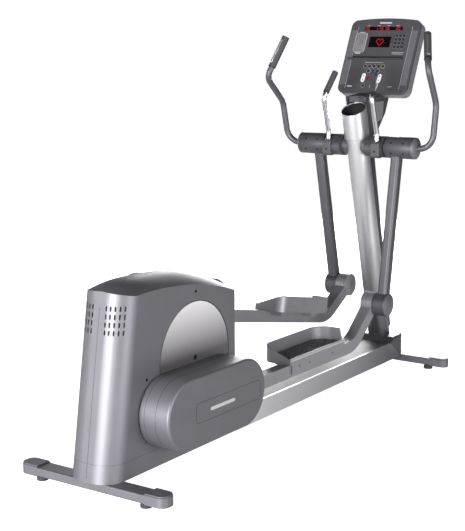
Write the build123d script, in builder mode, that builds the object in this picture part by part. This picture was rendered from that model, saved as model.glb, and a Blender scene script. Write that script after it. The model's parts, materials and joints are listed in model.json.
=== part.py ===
"""Rear-drive elliptical trainer, built as separate pieces.

Frame: +X to the user's right, +Y forward, +Z up, millimetres.
Origin: on the floor, under the middle of the overall length.
"""

import math
import os

from build123d import *

# ---------- driving dimensions ----------
overall_length = 2170
bar_length = 650  # rear and front stabilizer bars, tip to tip
running_fit = 0.05  # radial clearance of every pin and shaft
body_gap = 0.5  # air between pieces that move past each other

# beam
beam_half_width = 98
beam_bottom = 50
beam_top = 124
beam_wall = 4
panel_half_width = 107
panel_bottom = 48
panel_top = 128
panel_wall = 3

# stabilizer bars and feet
bar_bottom = 16
bar_top = 48
bar_wall = 3
rear_bar_depth = 70
front_bar_depth = 50
rear_bar_station = 50  # centre line, from the rear end
cap_length = 85
foot_spread = 234
foot_offset = 14  # behind the bar's centre line
foot_radius = 20
foot_stud_radius = 5
foot_gap = 1

# linkage
crank_station = 495  # from the rear end
crank_height = 394
crank_radius = 190
rest_crank_angle = 225  # right pin, from forward over the top
swing_arm_length = 686
neutral_arm_angle = 2
pivot_setback = 312  # from the front end
pivot_height = 1046
cover_droop = 5  # lever's cover axis, below its joint line

# column
column_lean = 14
column_radius = 49
column_wall = 3
column_rise = 39
holder_radius = 56
holder_wall = 3
holder_floor = 4
holder_rim_rear = 152
holder_rim_front = 181

# cross tube and swing arms
crossbar_radius = 38
crossbar_half = 151
shaft_radius = 15
sleeve_radius = 47
sleeve_inner = 154
sleeve_outer = 282
sleeve_cap_bulge = 18
arm_inner = 176
arm_outer = 220
arm_depth = 48
arm_wall = 3
joint_radius = 51
joint_pin_radius = 12
arm_boss_inner = 167
arm_boss_outer = 222
lever_boss_inner = 114

# handles
handle_radius = 13.5
grip_radius = 16.5
fixed_handle_radius = 11
fixed_grip_radius = 13.5
clamp_inner = 62
clamp_outer = 146

# pedal levers
lever_inner = 116
lever_outer = 164
lever_height = 52
lever_drop = 32  # tube centre below the crank pin
lever_wall = 4
lever_bend = 180  # bend of the gooseneck, rearward of the joint
lever_hub_radius = 42
cover_inner = 108
cover_outer = 235
cover_radius = 128
cover_spacing = 338
cover_setback = 70
cover_lower = 10
cover_wall = 3

# pedals
tray_inner = 36
tray_outer = 169
tray_start = 674  # from the crank pin, along the lever
tray_length = 430
tray_kerb = 12  # top of the low side, over the crank pin's level
tray_rim = 60
tray_wall = 3
mat_thickness = 12

# drive housing
housing_half_width = 104
housing_wall = 3.5
housing_length = 746
housing_lean = 9.1
housing_corner = 80
housing_arch_radius = 1600
housing_arch_station = 250
housing_side_top = 675
housing_crown = 46
disc_radius = 206
disc_gap = 4

# drive inside the housing
axle_radius = 17.5
crank_arm_inner = 84
crank_arm_outer = 97
pulley_radius = 150
pulley_inner = 28
pulley_width = 20
belt_thickness = 3
belt_gap = 0.3
flywheel_station = 285
flywheel_height = 300
flywheel_radius = 120
flywheel_width = 30
small_pulley_radius = 16
flywheel_shaft_radius = 8
bracket_plate_inner = 62
bracket_plate_thickness = 8

# console
face_tilt = 24.7
face_forward = 179.5  # face centre, from the pivot
face_rise = 382.5
face_width = 350
face_length = 350
face_corner = 32
face_arch = 12
face_thickness = 10
shell_depth = 54
shell_wall = 3
key_gap = 0.5
key_travel = 1


# ---------- places worked out from them ----------
def from_rear(distance):
    return distance - overall_length / 2


def from_front(distance):
    return overall_length / 2 - distance


crank_y = from_rear(crank_station)
pivot_y = from_front(pivot_setback)
lean = math.radians(column_lean)
neutral = math.radians(neutral_arm_angle)
lever_length = math.hypot(
    pivot_y + swing_arm_length * math.sin(neutral) - crank_y,
    pivot_height - swing_arm_length * math.cos(neutral) - crank_height,
)


def pin_place(crank_angle):
    turn = math.radians(crank_angle)
    return crank_y + crank_radius * math.cos(turn), crank_height + crank_radius * math.sin(turn)


def arm_angle(crank_angle):
    """Swing arm's angle from straight down, forward positive, that closes the linkage."""
    y, z = pin_place(crank_angle)
    reach = math.hypot(pivot_y - y, pivot_height - z)
    corner = math.acos(
        (swing_arm_length**2 + reach**2 - lever_length**2) / (2 * swing_arm_length * reach)
    )
    return math.degrees(corner - math.atan2(pivot_y - y, pivot_height - z))


def joint_place(angle):
    turn = math.radians(angle)
    return pivot_y + swing_arm_length * math.sin(turn), pivot_height - swing_arm_length * math.cos(turn)


def lever_angle(crank_angle):
    y, z = pin_place(crank_angle)
    joint_y, joint_z = joint_place(arm_angle(crank_angle))
    return math.degrees(math.atan2(joint_z - z, joint_y - y))


def side_plane(x, y, z, angle=0):
    """Plane seen from the right side: its X runs forward, turned up by angle, and its Z is +X."""
    turn = math.radians(angle)
    return Plane(origin=(x, y, z), x_dir=(0, math.cos(turn), math.sin(turn)), z_dir=(1, 0, 0))


def low(side, inner, outer):
    """Smaller x of a piece that spans inner to outer on one side."""
    return min(side * inner, side * outer)


def turned(point, origin, angle):
    """A point (x, forward, up) of a swinging piece, in the model's frame."""
    x, forward, up = point
    turn = math.radians(angle)
    return (
        x,
        origin[0] + forward * math.cos(turn) - up * math.sin(turn),
        origin[1] + forward * math.sin(turn) + up * math.cos(turn),
    )


def save(piece, name):
    piece.part.label = name
    export_step(piece.part, f"parts/{name}.step")


os.makedirs("parts", exist_ok=True)
column_plane = Plane(
    origin=(0, pivot_y, pivot_height), x_dir=(1, 0, 0), z_dir=(0, -math.sin(lean), math.cos(lean))
)
pivot = (pivot_y, pivot_height)
crank = (crank_y, crank_height)

# ---------- beam ----------
beam_start = from_rear(96)
tongue_start = from_rear(22)  # the beam's narrow rear end, over the rear bar
tongue_half_width = 45
beam_end = from_front(58)
housing_front = from_rear(housing_length)
panel_end_top = from_front(171)
panel_end_bottom = from_front(68)


def cross_plane(y):
    """Plane across the machine: its Y runs up and its Z forward."""
    return Plane(origin=(0, y, 0), x_dir=(-1, 0, 0), z_dir=(0, 1, 0))


with BuildPart() as base_frame:
    with BuildSketch(cross_plane(beam_start)):
        with Locations((0, (beam_bottom + beam_top) / 2)):
            Rectangle(2 * beam_half_width, beam_top - beam_bottom)
            Rectangle(
                2 * (beam_half_width - beam_wall),
                beam_top - beam_bottom - 2 * beam_wall,
                mode=Mode.SUBTRACT,
            )
    extrude(amount=beam_end - beam_start)
    with BuildSketch(cross_plane(tongue_start)):
        with Locations((0, (beam_bottom + beam_top) / 2)):
            Rectangle(2 * tongue_half_width, beam_top - beam_bottom)
            Rectangle(
                2 * (tongue_half_width - beam_wall),
                beam_top - beam_bottom - 2 * beam_wall,
                mode=Mode.SUBTRACT,
            )
    extrude(amount=beam_start - tongue_start)
    with BuildSketch(cross_plane(beam_start - beam_wall)):
        with Locations((0, (beam_bottom + beam_top) / 2)):
            Rectangle(2 * beam_half_width - 12, beam_top - beam_bottom)
    extrude(amount=beam_wall)
save(base_frame, "base_frame")

panel_depth = panel_half_width - beam_half_width
with BuildPart() as base_side_panels:
    for side in (1, -1):
        with BuildSketch(side_plane(low(side, beam_half_width, panel_half_width), 0, 0)):
            with BuildLine():
                Polyline(
                    (housing_front, panel_bottom),
                    (panel_end_bottom, panel_bottom),
                    (panel_end_top, panel_top),
                    (housing_front, panel_top),
                    close=True,
                )
            make_face()
        extrude(amount=panel_depth)
        inner_face = low(side, beam_half_width, panel_half_width - panel_wall)
        with BuildSketch(side_plane(inner_face, 0, 0)):
            with Locations((0, (panel_bottom + panel_top) / 2)):
                Rectangle(overall_length, panel_top - panel_bottom - 2 * panel_wall)
        extrude(amount=panel_depth - panel_wall, mode=Mode.SUBTRACT)
save(base_side_panels, "base_side_panels")

with BuildPart() as base_top_cover:
    with BuildSketch(Plane.XY.offset(beam_top)):
        with Locations((0, (housing_front + panel_end_top) / 2)):
            Rectangle(2 * beam_half_width, panel_end_top - housing_front)
    extrude(amount=panel_top - beam_top - body_gap)
save(base_top_cover, "base_top_cover")

end_cap_wall = 4
end_cap_top = 150
end_cap_front = from_front(2)
end_cap_corner = 84


def end_cap_outline(inset):
    """Side outline of the front end cap, or of its inside, which runs out at the bottom."""
    return (
        (panel_end_bottom - 3 * inset, bar_top + 0.3 - 6 * inset),
        (end_cap_front - inset, bar_top + 0.3 - 6 * inset),
        (end_cap_front - inset, end_cap_top - inset),
        (from_front(140), end_cap_top - inset),
        (panel_end_top + 2 * inset, panel_top),
    )


with BuildPart() as front_end_cap:
    with BuildSketch(side_plane(-panel_half_width, 0, 0)):
        with BuildLine():
            Polyline(*end_cap_outline(0), close=True)
        make_face()
    extrude(amount=2 * panel_half_width)
    fillet(front_end_cap.edges().filter_by(Axis.Z).group_by(Axis.Y)[-1], radius=end_cap_corner)
    with BuildPart(mode=Mode.PRIVATE) as cap_inside:
        with BuildSketch(side_plane(-panel_half_width + end_cap_wall, 0, 0)):
            with BuildLine():
                Polyline(*end_cap_outline(end_cap_wall), close=True)
            make_face()
        extrude(amount=2 * (panel_half_width - end_cap_wall))
        inside_corners = cap_inside.edges().filter_by(Axis.Z).group_by(Axis.Y)[-1]
        fillet(inside_corners, radius=end_cap_corner - end_cap_wall)
    top_edges = front_end_cap.faces().filter_by(Axis.Z).sort_by(Axis.Z)[-1].edges()
    fillet(top_edges.filter_by(lambda edge: edge.center().Y > from_front(139)), radius=end_cap_wall + 5)
    add(cap_inside.part, mode=Mode.SUBTRACT)
    with BuildSketch(cross_plane(0)):
        with Locations((0, beam_top / 2)):
            Rectangle(2 * beam_half_width + 2 * body_gap, beam_top + body_gap)
    extrude(amount=beam_end, mode=Mode.SUBTRACT)
    with BuildSketch(column_plane.offset(-2 * pivot_height)):
        Circle(column_radius + body_gap)
    extrude(amount=2 * pivot_height, mode=Mode.SUBTRACT)
save(front_end_cap, "front_end_cap")

# ---------- stabilizer bars and feet ----------
rear_bar_y = from_rear(rear_bar_station)
front_bar_y = from_front(front_bar_depth / 2)
bar_half = bar_length / 2 - cap_length
bars = (("rear", rear_bar_y, rear_bar_depth), ("front", front_bar_y, front_bar_depth))
for name, bar_y, bar_depth in bars:
    with BuildPart() as stabilizer:
        with BuildSketch(side_plane(-bar_half, bar_y, (bar_bottom + bar_top) / 2)):
            RectangleRounded(bar_depth, bar_top - bar_bottom, 5)
            RectangleRounded(
                bar_depth - 2 * bar_wall, bar_top - bar_bottom - 2 * bar_wall, 2, mode=Mode.SUBTRACT
            )
        extrude(amount=2 * bar_half)
        with BuildSketch(Plane.XY.offset(bar_bottom - 1)):
            with Locations((-foot_spread, bar_y - foot_offset), (foot_spread, bar_y - foot_offset)):
                Circle(foot_stud_radius + running_fit)
        extrude(amount=bar_wall + 2, mode=Mode.SUBTRACT)
    save(stabilizer, f"{name}_stabilizer")
    for side, side_name in ((1, "right"), (-1, "left")):
        with BuildPart() as foot:
            with BuildSketch(Plane(origin=(side * foot_spread, bar_y - foot_offset, 0))):
                Circle(foot_radius)
            extrude(amount=bar_bottom - foot_gap)
            chamfer(foot.faces().sort_by(Axis.Z)[-1].edges(), length=3)
            with BuildSketch(Plane(origin=(side * foot_spread, bar_y - foot_offset, 1))):
                Circle(foot_stud_radius)
            extrude(amount=bar_top - bar_wall - 4)
        save(foot, f"{name}_{side_name}_levelling_foot")

cap_lip = 1.5  # the caps stand out from the bars
with BuildPart() as stabilizer_end_caps:
    for name, bar_y, bar_depth in bars:
        for side in (1, -1):
            with BuildSketch(Plane.XY.offset(bar_bottom - cap_lip)) as cap_outline:
                with Locations((side * (bar_half + cap_length / 2), bar_y)):
                    Rectangle(cap_length, bar_depth)
                tips = cap_outline.vertices().sort_by(Axis.X)
                fillet(tips[-2:] if side > 0 else tips[:2], radius=bar_depth * 0.42)
            extrude(amount=bar_top - bar_bottom + 2 * cap_lip)
    for name, bar_y, bar_depth in bars:
        for side in (1, -1):
            with BuildSketch(Plane(origin=(side * foot_spread, bar_y - foot_offset, 0))):
                Circle(foot_radius + 2)
            extrude(amount=bar_bottom - foot_gap + 1, mode=Mode.SUBTRACT)
save(stabilizer_end_caps, "stabilizer_end_caps")

# ---------- column ----------
column_drop = (pivot_height - beam_top) / math.cos(lean) + column_radius
flange_radius = 71
flange_thickness = 8
flange_y = pivot_y + (pivot_height - beam_top) * math.tan(lean)
with BuildPart() as column:
    with BuildSketch(column_plane.offset(-column_drop)):
        Circle(column_radius)
    extrude(amount=column_drop + column_rise)
    with BuildSketch(Plane.XY.offset(beam_top)):
        with Locations((0, flange_y)):
            Circle(flange_radius)
    extrude(amount=flange_thickness)
    with BuildSketch(column_plane.offset(-column_drop)):
        Circle(column_radius - column_wall)
    extrude(amount=column_drop + column_rise, mode=Mode.SUBTRACT)
    split(bisect_by=Plane.XY.offset(beam_top), keep=Keep.TOP)
    with BuildSketch(side_plane(-column_radius - 1, pivot_y, pivot_height)):
        Circle(crossbar_radius)
    extrude(amount=2 * column_radius + 2, mode=Mode.SUBTRACT)
save(column, "column")

strip_depth_top = 58  # the strip's rounded front, from the column's axis
strip_depth_bottom = 34
strip_radius = 40
strip_wall = 3
strip_bottom = -(pivot_height - end_cap_top - 22) / math.cos(lean)
strip_top = 6
knob_radius = 13
knob_length = 14
knob_drop = 80  # below the pivot, along the column
with BuildPart() as column_front_cover:
    for end_gap, radius, mode in (
        (0, strip_radius, Mode.ADD),
        (strip_wall, strip_radius - strip_wall, Mode.SUBTRACT),
    ):
        for height, depth in (
            (strip_bottom + end_gap, strip_depth_bottom),
            (strip_top - end_gap, strip_depth_top),
        ):
            with BuildSketch(column_plane.offset(height)):
                Circle(radius)
                with Locations((0, depth)):
                    Circle(radius)
                make_hull()
        loft(mode=mode)
    with BuildSketch(
        Plane(
            origin=column_plane.from_local_coords((0, strip_depth_top + strip_radius - 8, -knob_drop)),
            z_dir=column_plane.y_dir,
        )
    ):
        Circle(knob_radius)
    extrude(amount=knob_length)
    with BuildSketch(column_plane.offset(strip_bottom - 1)):
        Circle(column_radius)
    extrude(amount=strip_top - strip_bottom + 2, mode=Mode.SUBTRACT)
    with BuildSketch(side_plane(-column_radius - 1, pivot_y, pivot_height)):
        Circle(crossbar_radius)
    extrude(amount=2 * column_radius + 2, mode=Mode.SUBTRACT)
save(column_front_cover, "column_front_cover")

with BuildPart() as bottle_holder:
    with BuildSketch(column_plane.offset(column_rise)):
        Circle(holder_radius)
    extrude(amount=holder_rim_front)
    with BuildSketch(column_plane.offset(column_rise + holder_floor)):
        Circle(holder_radius - holder_wall)
    extrude(amount=holder_rim_front, mode=Mode.SUBTRACT)
    rim_slope = math.atan2(holder_rim_front - holder_rim_rear, 2 * holder_radius)
    rim_middle = column_plane.from_local_coords((0, 0, (holder_rim_front + holder_rim_rear) / 2))
    rim_normal = (0, -math.sin(rim_slope + lean), math.cos(rim_slope + lean))
    split(bisect_by=Plane(origin=rim_middle, x_dir=(1, 0, 0), z_dir=rim_normal), keep=Keep.BOTTOM)
save(bottle_holder, "bottle_holder")

# ---------- cross tube, shaft and fixed handles ----------
crossbar_wall = 6
plug_length = 20
with BuildPart() as pivot_crossbar:
    with BuildSketch(side_plane(-crossbar_half, pivot_y, pivot_height)):
        Circle(crossbar_radius)
        Circle(crossbar_radius - crossbar_wall, mode=Mode.SUBTRACT)
    extrude(amount=2 * crossbar_half)
    for start in (-crossbar_half, crossbar_half - plug_length):
        with BuildSketch(side_plane(start, pivot_y, pivot_height)):
            Circle(crossbar_radius)
            Circle(shaft_radius, mode=Mode.SUBTRACT)
        extrude(amount=plug_length)
save(pivot_crossbar, "pivot_crossbar")

with BuildPart() as pivot_shaft:
    with BuildSketch(side_plane(-sleeve_outer + 1, pivot_y, pivot_height)):
        Circle(shaft_radius)
    extrude(amount=2 * sleeve_outer - 2)
save(pivot_shaft, "pivot_shaft")

clamp_ring = 9
socket_x = 121
socket_back = 50
socket_low = 40
socket_high = 27
socket_wall = 8
with BuildPart() as handle_clamps:
    for side in (1, -1):
        with BuildSketch(side_plane(low(side, clamp_inner, clamp_outer), pivot_y, pivot_height)):
            Circle(crossbar_radius + clamp_ring)
            with Locations((-socket_back + 22, -5)):
                Circle(crossbar_radius - 4)
            make_hull()
        extrude(amount=clamp_outer - clamp_inner)
        with BuildSketch(Plane(origin=(side * socket_x, pivot_y - socket_back, pivot_height - socket_low))):
            Circle(fixed_handle_radius + socket_wall)
        extrude(amount=socket_low + socket_high)
        with BuildSketch(side_plane(low(side, clamp_inner, clamp_outer), pivot_y, pivot_height)):
            Circle(crossbar_radius)
        extrude(amount=clamp_outer - clamp_inner, mode=Mode.SUBTRACT)
        with BuildSketch(Plane(origin=(side * socket_x, pivot_y - socket_back, pivot_height + 6))):
            Circle(fixed_handle_radius)
        extrude(amount=socket_high, mode=Mode.SUBTRACT)
save(handle_clamps, "handle_clamps")

fixed_route = ((socket_x, -socket_back, 6), (socket_x, -socket_back, 60), (120, -97, 212), (95, -42, 318))
fixed_bend = 40
with BuildPart() as fixed_handles:
    for side in (1, -1):
        with BuildLine() as route:
            FilletPolyline(
                [turned((side * x, y, z), pivot, 0) for x, y, z in fixed_route], radius=fixed_bend
            )
        with BuildSketch(Plane(origin=route.line @ 0, z_dir=route.line % 0)):
            Circle(fixed_handle_radius)
        sweep(path=route.line)
save(fixed_handles, "fixed_handles")

grip_margin = 26  # from the last bend to the grip
grip_end = 6  # rubber past the tube's end
with BuildPart() as fixed_grips:
    for side in (1, -1):
        bend, tip = [Vector(turned((side * x, y, z), pivot, 0)) for x, y, z in fixed_route[-2:]]
        along = (tip - bend).normalized()
        start = bend + along * grip_margin
        with BuildSketch(Plane(origin=start, z_dir=along)):
            Circle(fixed_grip_radius)
        extrude(amount=(tip - start).length + grip_end)
        with BuildSketch(Plane(origin=start, z_dir=along)):
            Circle(fixed_handle_radius)
        extrude(amount=(tip - start).length, mode=Mode.SUBTRACT)
    fillet(
        [face.edges().filter_by(GeomType.CIRCLE)[0] for face in fixed_grips.faces().group_by(Axis.Z)[-1]],
        radius=4,
    )
save(fixed_grips, "fixed_grips")

# ---------- swing arms, levers and pedals ----------
handle_route = ((sleeve_outer, 0, 0), (362, 0, 0), (364, -5, 190), (362, -112, 330), (299, -22, 486))
handle_bends = (62, 75, 48)
grip_share = 0.27  # bare share of the handle's last run
shell_gap = 1


def lever_plane(x, crank_angle, up=0):
    """Side plane at the crank pin, along the lever's tube."""
    pin_y, pin_z = pin_place(crank_angle)
    tilt = lever_angle(crank_angle) - cover_droop
    plane = side_plane(x, pin_y, pin_z, tilt)
    return Plane(origin=plane.from_local_coords((0, up, 0)), x_dir=plane.x_dir, z_dir=plane.z_dir)


def lever_top_plane(crank_angle, up):
    """Plane over the lever at the crank pin's station: X along the lever, Y to the left."""
    plane = lever_plane(0, crank_angle, up)
    return Plane(origin=plane.origin, x_dir=plane.x_dir, z_dir=plane.y_dir)


def lever_cross_plane(crank_angle, along):
    """Plane across the lever, at a distance along it from the crank pin: Y up, Z forward."""
    plane = lever_plane(0, crank_angle)
    return Plane(origin=plane.from_local_coords((along, 0, 0)), x_dir=(-1, 0, 0), z_dir=plane.x_dir)


droop = math.radians(cover_droop)
joint_along = lever_length * math.cos(droop)
joint_up = lever_length * math.sin(droop)
tray_middle = tray_start + tray_length / 2
tray_width = tray_outer - tray_inner
lever_top = lever_height / 2 - lever_drop
mat_bottom = lever_top + tray_wall
skirt_low = lever_top - 40
mat_gap = 0.4
cap_rim = 4
crank_bore = 13  # radius of the lever's bore round the crank pin
cover_hole = 22  # radius of the link cover's hole over it
drain_hole = 4
bracket_length = 44
bracket_drop = 18
bracket_inset = 30  # from the tray's inner side
kerb_bevel = 10
kerb_reach = 12
cover_rear = (-cover_setback, -cover_lower)
cover_front = (cover_spacing - cover_setback, -cover_lower)
sides = (("right", 1, rest_crank_angle), ("left", -1, rest_crank_angle - 180))
for name, side, crank_angle in sides:
    swing = arm_angle(crank_angle)
    joint_y, joint_z = joint_place(swing)

    with BuildPart() as swing_arm:
        with BuildSketch(side_plane(low(side, sleeve_inner, sleeve_outer), pivot_y, pivot_height)):
            Circle(sleeve_radius)
        extrude(amount=sleeve_outer - sleeve_inner)
        with BuildSketch(side_plane(low(side, arm_boss_inner, arm_boss_outer), joint_y, joint_z)):
            Circle(joint_radius)
        extrude(amount=arm_boss_outer - arm_boss_inner)
        arm_x = side * (arm_inner + arm_outer) / 2
        arm_plane = Plane(
            origin=(arm_x, pivot_y, pivot_height),
            x_dir=(1, 0, 0),
            z_dir=(0, joint_y - pivot_y, joint_z - pivot_height),
        )
        with BuildSketch(arm_plane):
            RectangleRounded(arm_outer - arm_inner, arm_depth, 13)
        extrude(amount=swing_arm_length)
        with BuildSketch(arm_plane.offset(sleeve_radius)):
            RectangleRounded(arm_outer - arm_inner - 2 * arm_wall, arm_depth - 2 * arm_wall, 10)
        extrude(amount=swing_arm_length - sleeve_radius - joint_radius, mode=Mode.SUBTRACT)
        with BuildSketch(side_plane(low(side, arm_boss_inner, arm_boss_outer), joint_y, joint_z)):
            Circle(joint_pin_radius)
        extrude(amount=arm_boss_outer - arm_boss_inner, mode=Mode.SUBTRACT)
        inner_start = low(side, sleeve_inner + 20, sleeve_outer - 20)
        with BuildSketch(side_plane(inner_start, pivot_y, pivot_height)):
            Circle(sleeve_radius - 6)
        extrude(amount=sleeve_outer - sleeve_inner - 40, mode=Mode.SUBTRACT)
        with BuildSketch(side_plane(low(side, sleeve_inner, sleeve_outer), pivot_y, pivot_height)):
            Circle(shaft_radius + running_fit)
        extrude(amount=sleeve_outer - sleeve_inner, mode=Mode.SUBTRACT)
    save(swing_arm, f"{name}_swing_arm")

    with BuildPart() as joint_pin:
        with BuildSketch(side_plane(low(side, lever_boss_inner + 2, arm_boss_outer - 1), joint_y, joint_z)):
            Circle(joint_pin_radius)
        extrude(amount=arm_boss_outer - lever_boss_inner - 3)
    save(joint_pin, f"{name}_joint_pin")

    caps = (
        (sleeve_outer, pivot_y, pivot_height, sleeve_radius, sleeve_cap_bulge, handle_radius + body_gap),
        (arm_boss_outer, joint_y, joint_z, joint_radius - 3, 15, 0),
    )
    with BuildPart() as arm_caps:
        for cap_x, cap_y, cap_z, radius, bulge, hole in caps:
            # section of the dome, turned about the joint's own axis
            dome_radius = (radius**2 + (bulge - cap_rim) ** 2) / (2 * (bulge - cap_rim))
            middle = (radius + hole) / 2
            heights = [
                bulge - dome_radius + math.sqrt(dome_radius**2 - place**2) for place in (hole, middle)
            ]
            cap_centre = (side * cap_x, cap_y, cap_z)
            with BuildSketch(Plane(origin=cap_centre, x_dir=(side, 0, 0), z_dir=(0, -side, 0))):
                with BuildLine():
                    Polyline((heights[0], hole), (0, hole), (0, radius), (cap_rim, radius))
                    ThreePointArc((cap_rim, radius), (heights[1], middle), (heights[0], hole))
                make_face()
            revolve(axis=Axis(cap_centre, (1, 0, 0)))
    save(arm_caps, f"{name}_arm_caps")

    handle_points = [turned((side * x, y, z), pivot, swing) for x, y, z in handle_route]
    with BuildPart() as moving_handle:
        with BuildLine() as route:
            FilletPolyline(handle_points, radius=handle_bends)
        with BuildSketch(Plane(origin=route.line @ 0, z_dir=route.line % 0)):
            Circle(handle_radius)
        sweep(path=route.line)
    save(moving_handle, f"{name}_moving_handle")

    bend, tip = Vector(handle_points[-2]), Vector(handle_points[-1])
    along = (tip - bend).normalized()
    start = bend + (tip - bend) * grip_share
    with BuildPart() as moving_grip:
        with BuildSketch(Plane(origin=start, z_dir=along)):
            Circle(grip_radius)
        extrude(amount=(tip - start).length + grip_end)
        fillet(moving_grip.edges(), radius=3)
        with BuildSketch(Plane(origin=start, z_dir=along)):
            Circle(handle_radius)
        extrude(amount=(tip - start).length, mode=Mode.SUBTRACT)
    save(moving_grip, f"{name}_moving_grip")

    with BuildPart() as pedal_lever:
        with BuildSketch(lever_plane(low(side, lever_inner, lever_outer), crank_angle)):
            with BuildLine() as tube_line:
                FilletPolyline(
                    (0, -lever_drop),
                    (joint_along - lever_bend, -lever_drop),
                    (joint_along, joint_up),
                    radius=160,
                )
            trace(tube_line.edges(), line_width=lever_height)
        extrude(amount=lever_outer - lever_inner)
        hub_span = low(side, lever_inner - 4, lever_outer)
        with BuildSketch(lever_plane(hub_span, crank_angle)):
            Circle(lever_hub_radius)
        extrude(amount=lever_outer - lever_inner + 4)
        boss_outer = arm_boss_inner - body_gap
        with BuildSketch(lever_plane(low(side, lever_boss_inner, boss_outer), crank_angle)):
            with Locations((joint_along, joint_up)):
                Circle(joint_radius)
        extrude(amount=boss_outer - lever_boss_inner)
        for station in (tray_start + 70, tray_start + tray_length - 110):
            bracket_x = low(side, tray_inner + bracket_inset, lever_inner + lever_wall)
            with BuildSketch(lever_plane(bracket_x, crank_angle)):
                with Locations((station, lever_top - bracket_drop / 2)):
                    Rectangle(bracket_length, bracket_drop)
            extrude(amount=lever_inner + lever_wall - tray_inner - bracket_inset)
        inside = lever_outer - lever_inner - 2 * lever_wall
        inside_start = low(side, lever_inner + lever_wall, lever_outer - lever_wall)
        with BuildSketch(lever_plane(inside_start, crank_angle)):
            with BuildLine() as hollow_line:
                Line((lever_hub_radius + 20, -lever_drop), (joint_along - lever_bend - 60, -lever_drop))
            trace(hollow_line.edges(), line_width=lever_height - 2 * lever_wall)
        extrude(amount=inside, mode=Mode.SUBTRACT)
        with BuildSketch(lever_top_plane(crank_angle, -lever_drop - lever_height)):
            with Locations((joint_along - lever_bend - 80, -side * (lever_inner + lever_outer) / 2)):
                Circle(drain_hole)
        extrude(amount=lever_height, mode=Mode.SUBTRACT)
        with BuildSketch(lever_plane(hub_span, crank_angle)):
            Circle(crank_bore)
        extrude(amount=lever_outer - lever_inner + 4, mode=Mode.SUBTRACT)
        with BuildSketch(lever_plane(low(side, lever_boss_inner, boss_outer), crank_angle)):
            with Locations((joint_along, joint_up)):
                Circle(joint_pin_radius + running_fit)
        extrude(amount=boss_outer - lever_boss_inner, mode=Mode.SUBTRACT)
    save(pedal_lever, f"{name}_pedal_lever")

    tray_x = -side * (tray_inner + tray_outer) / 2
    with BuildPart() as pedal_tray:
        with BuildSketch(lever_top_plane(crank_angle, lever_top)) as outline:
            with Locations((tray_middle, tray_x)):
                Rectangle(tray_length, tray_width)
            for end, radius in ((tray_start, 48), (tray_start + tray_length, 75)):
                corner = Vector(end, -side * tray_inner)
                fillet(outline.vertices().sort_by_distance(corner)[0], radius=radius)
        extrude(amount=tray_rim - lever_top)
        with BuildSketch(lever_top_plane(crank_angle, mat_bottom)):
            offset(outline.sketch_local, amount=-tray_wall)
        extrude(amount=tray_rim - mat_bottom, mode=Mode.SUBTRACT)
        # the rear wall falls away towards the lever, and the lever's side has only a low kerb
        with BuildSketch(lever_cross_plane(crank_angle, tray_start - 1)):
            with BuildLine():
                Polyline(
                    (-side * (tray_inner + kerb_reach), tray_rim + 1),
                    (-side * (tray_outer + 1), tray_kerb),
                    (-side * (tray_outer + 1), tray_rim + 1),
                    close=True,
                )
            make_face()
        extrude(amount=70, mode=Mode.SUBTRACT)
        with BuildSketch(lever_cross_plane(crank_angle, tray_start - 1)):
            with BuildLine():
                Polyline(
                    (-side * (tray_outer - kerb_reach - kerb_bevel), tray_rim + 1),
                    (-side * (tray_outer - kerb_reach), tray_kerb),
                    (-side * (tray_outer + 1), tray_kerb),
                    (-side * (tray_outer + 1), tray_rim + 1),
                    close=True,
                )
            make_face()
        extrude(amount=tray_length + 2, mode=Mode.SUBTRACT)
        with BuildSketch(lever_plane(low(side, tray_outer - tray_wall, tray_outer), crank_angle)):
            with Locations((tray_middle - 8, (skirt_low + lever_top) / 2)):
                Rectangle(tray_length - 46, lever_top - skirt_low)
        extrude(amount=tray_wall)
    save(pedal_tray, f"{name}_pedal_tray")

    with BuildPart() as pedal_mat:
        with BuildSketch(lever_top_plane(crank_angle, mat_bottom)):
            offset(outline.sketch_local, amount=-tray_wall - mat_gap)
        extrude(amount=mat_thickness)
        chamfer(pedal_mat.faces().sort_by(Axis.Z)[-1].edges(), length=1.5)
    save(pedal_mat, f"{name}_pedal_mat")

    with BuildPart() as link_cover:
        with BuildSketch(lever_plane(low(side, cover_inner, cover_outer), crank_angle)) as cover_outline:
            with Locations(cover_rear, cover_front):
                Circle(cover_radius)
            make_hull()
        extrude(amount=cover_outer - cover_inner)
        outer_edges = link_cover.faces().filter_by(Axis.X).sort_by(Axis.X)[-1 if side > 0 else 0].edges()
        fillet(outer_edges, radius=9)
        inner_span = low(side, cover_inner + cover_wall, cover_outer - cover_wall)
        with BuildSketch(lever_plane(inner_span, crank_angle)):
            with Locations(cover_rear, cover_front):
                Circle(cover_radius - cover_wall)
            make_hull()
        extrude(amount=cover_outer - cover_inner - 2 * cover_wall, mode=Mode.SUBTRACT)
        with BuildSketch(lever_plane(low(side, lever_inner - shell_gap, lever_outer + shell_gap), crank_angle)):
            with Locations((cover_front[0] + cover_radius, -lever_drop)):
                Rectangle(cover_radius, lever_height + 2 * shell_gap)
        extrude(amount=lever_outer - lever_inner + 2 * shell_gap, mode=Mode.SUBTRACT)
        with BuildSketch(lever_plane(low(side, cover_inner, cover_inner + cover_wall), crank_angle)):
            Circle(cover_hole)
        extrude(amount=cover_wall, mode=Mode.SUBTRACT)
    save(link_cover, f"{name}_link_cover")

# ---------- crank, pulley and flywheel ----------
disc_thickness = 4
disc_inner = housing_half_width - disc_thickness - 1
pin_radius = 12
pin_end = cover_inner - 0.7
arm_hub_radius = 35
arm_end_radius = 26
with BuildPart() as crank_axle:
    with BuildSketch(side_plane(-crank_arm_outer, crank_y, crank_height)):
        Circle(axle_radius)
    extrude(amount=2 * crank_arm_outer)
save(crank_axle, "crank_axle")

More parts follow.
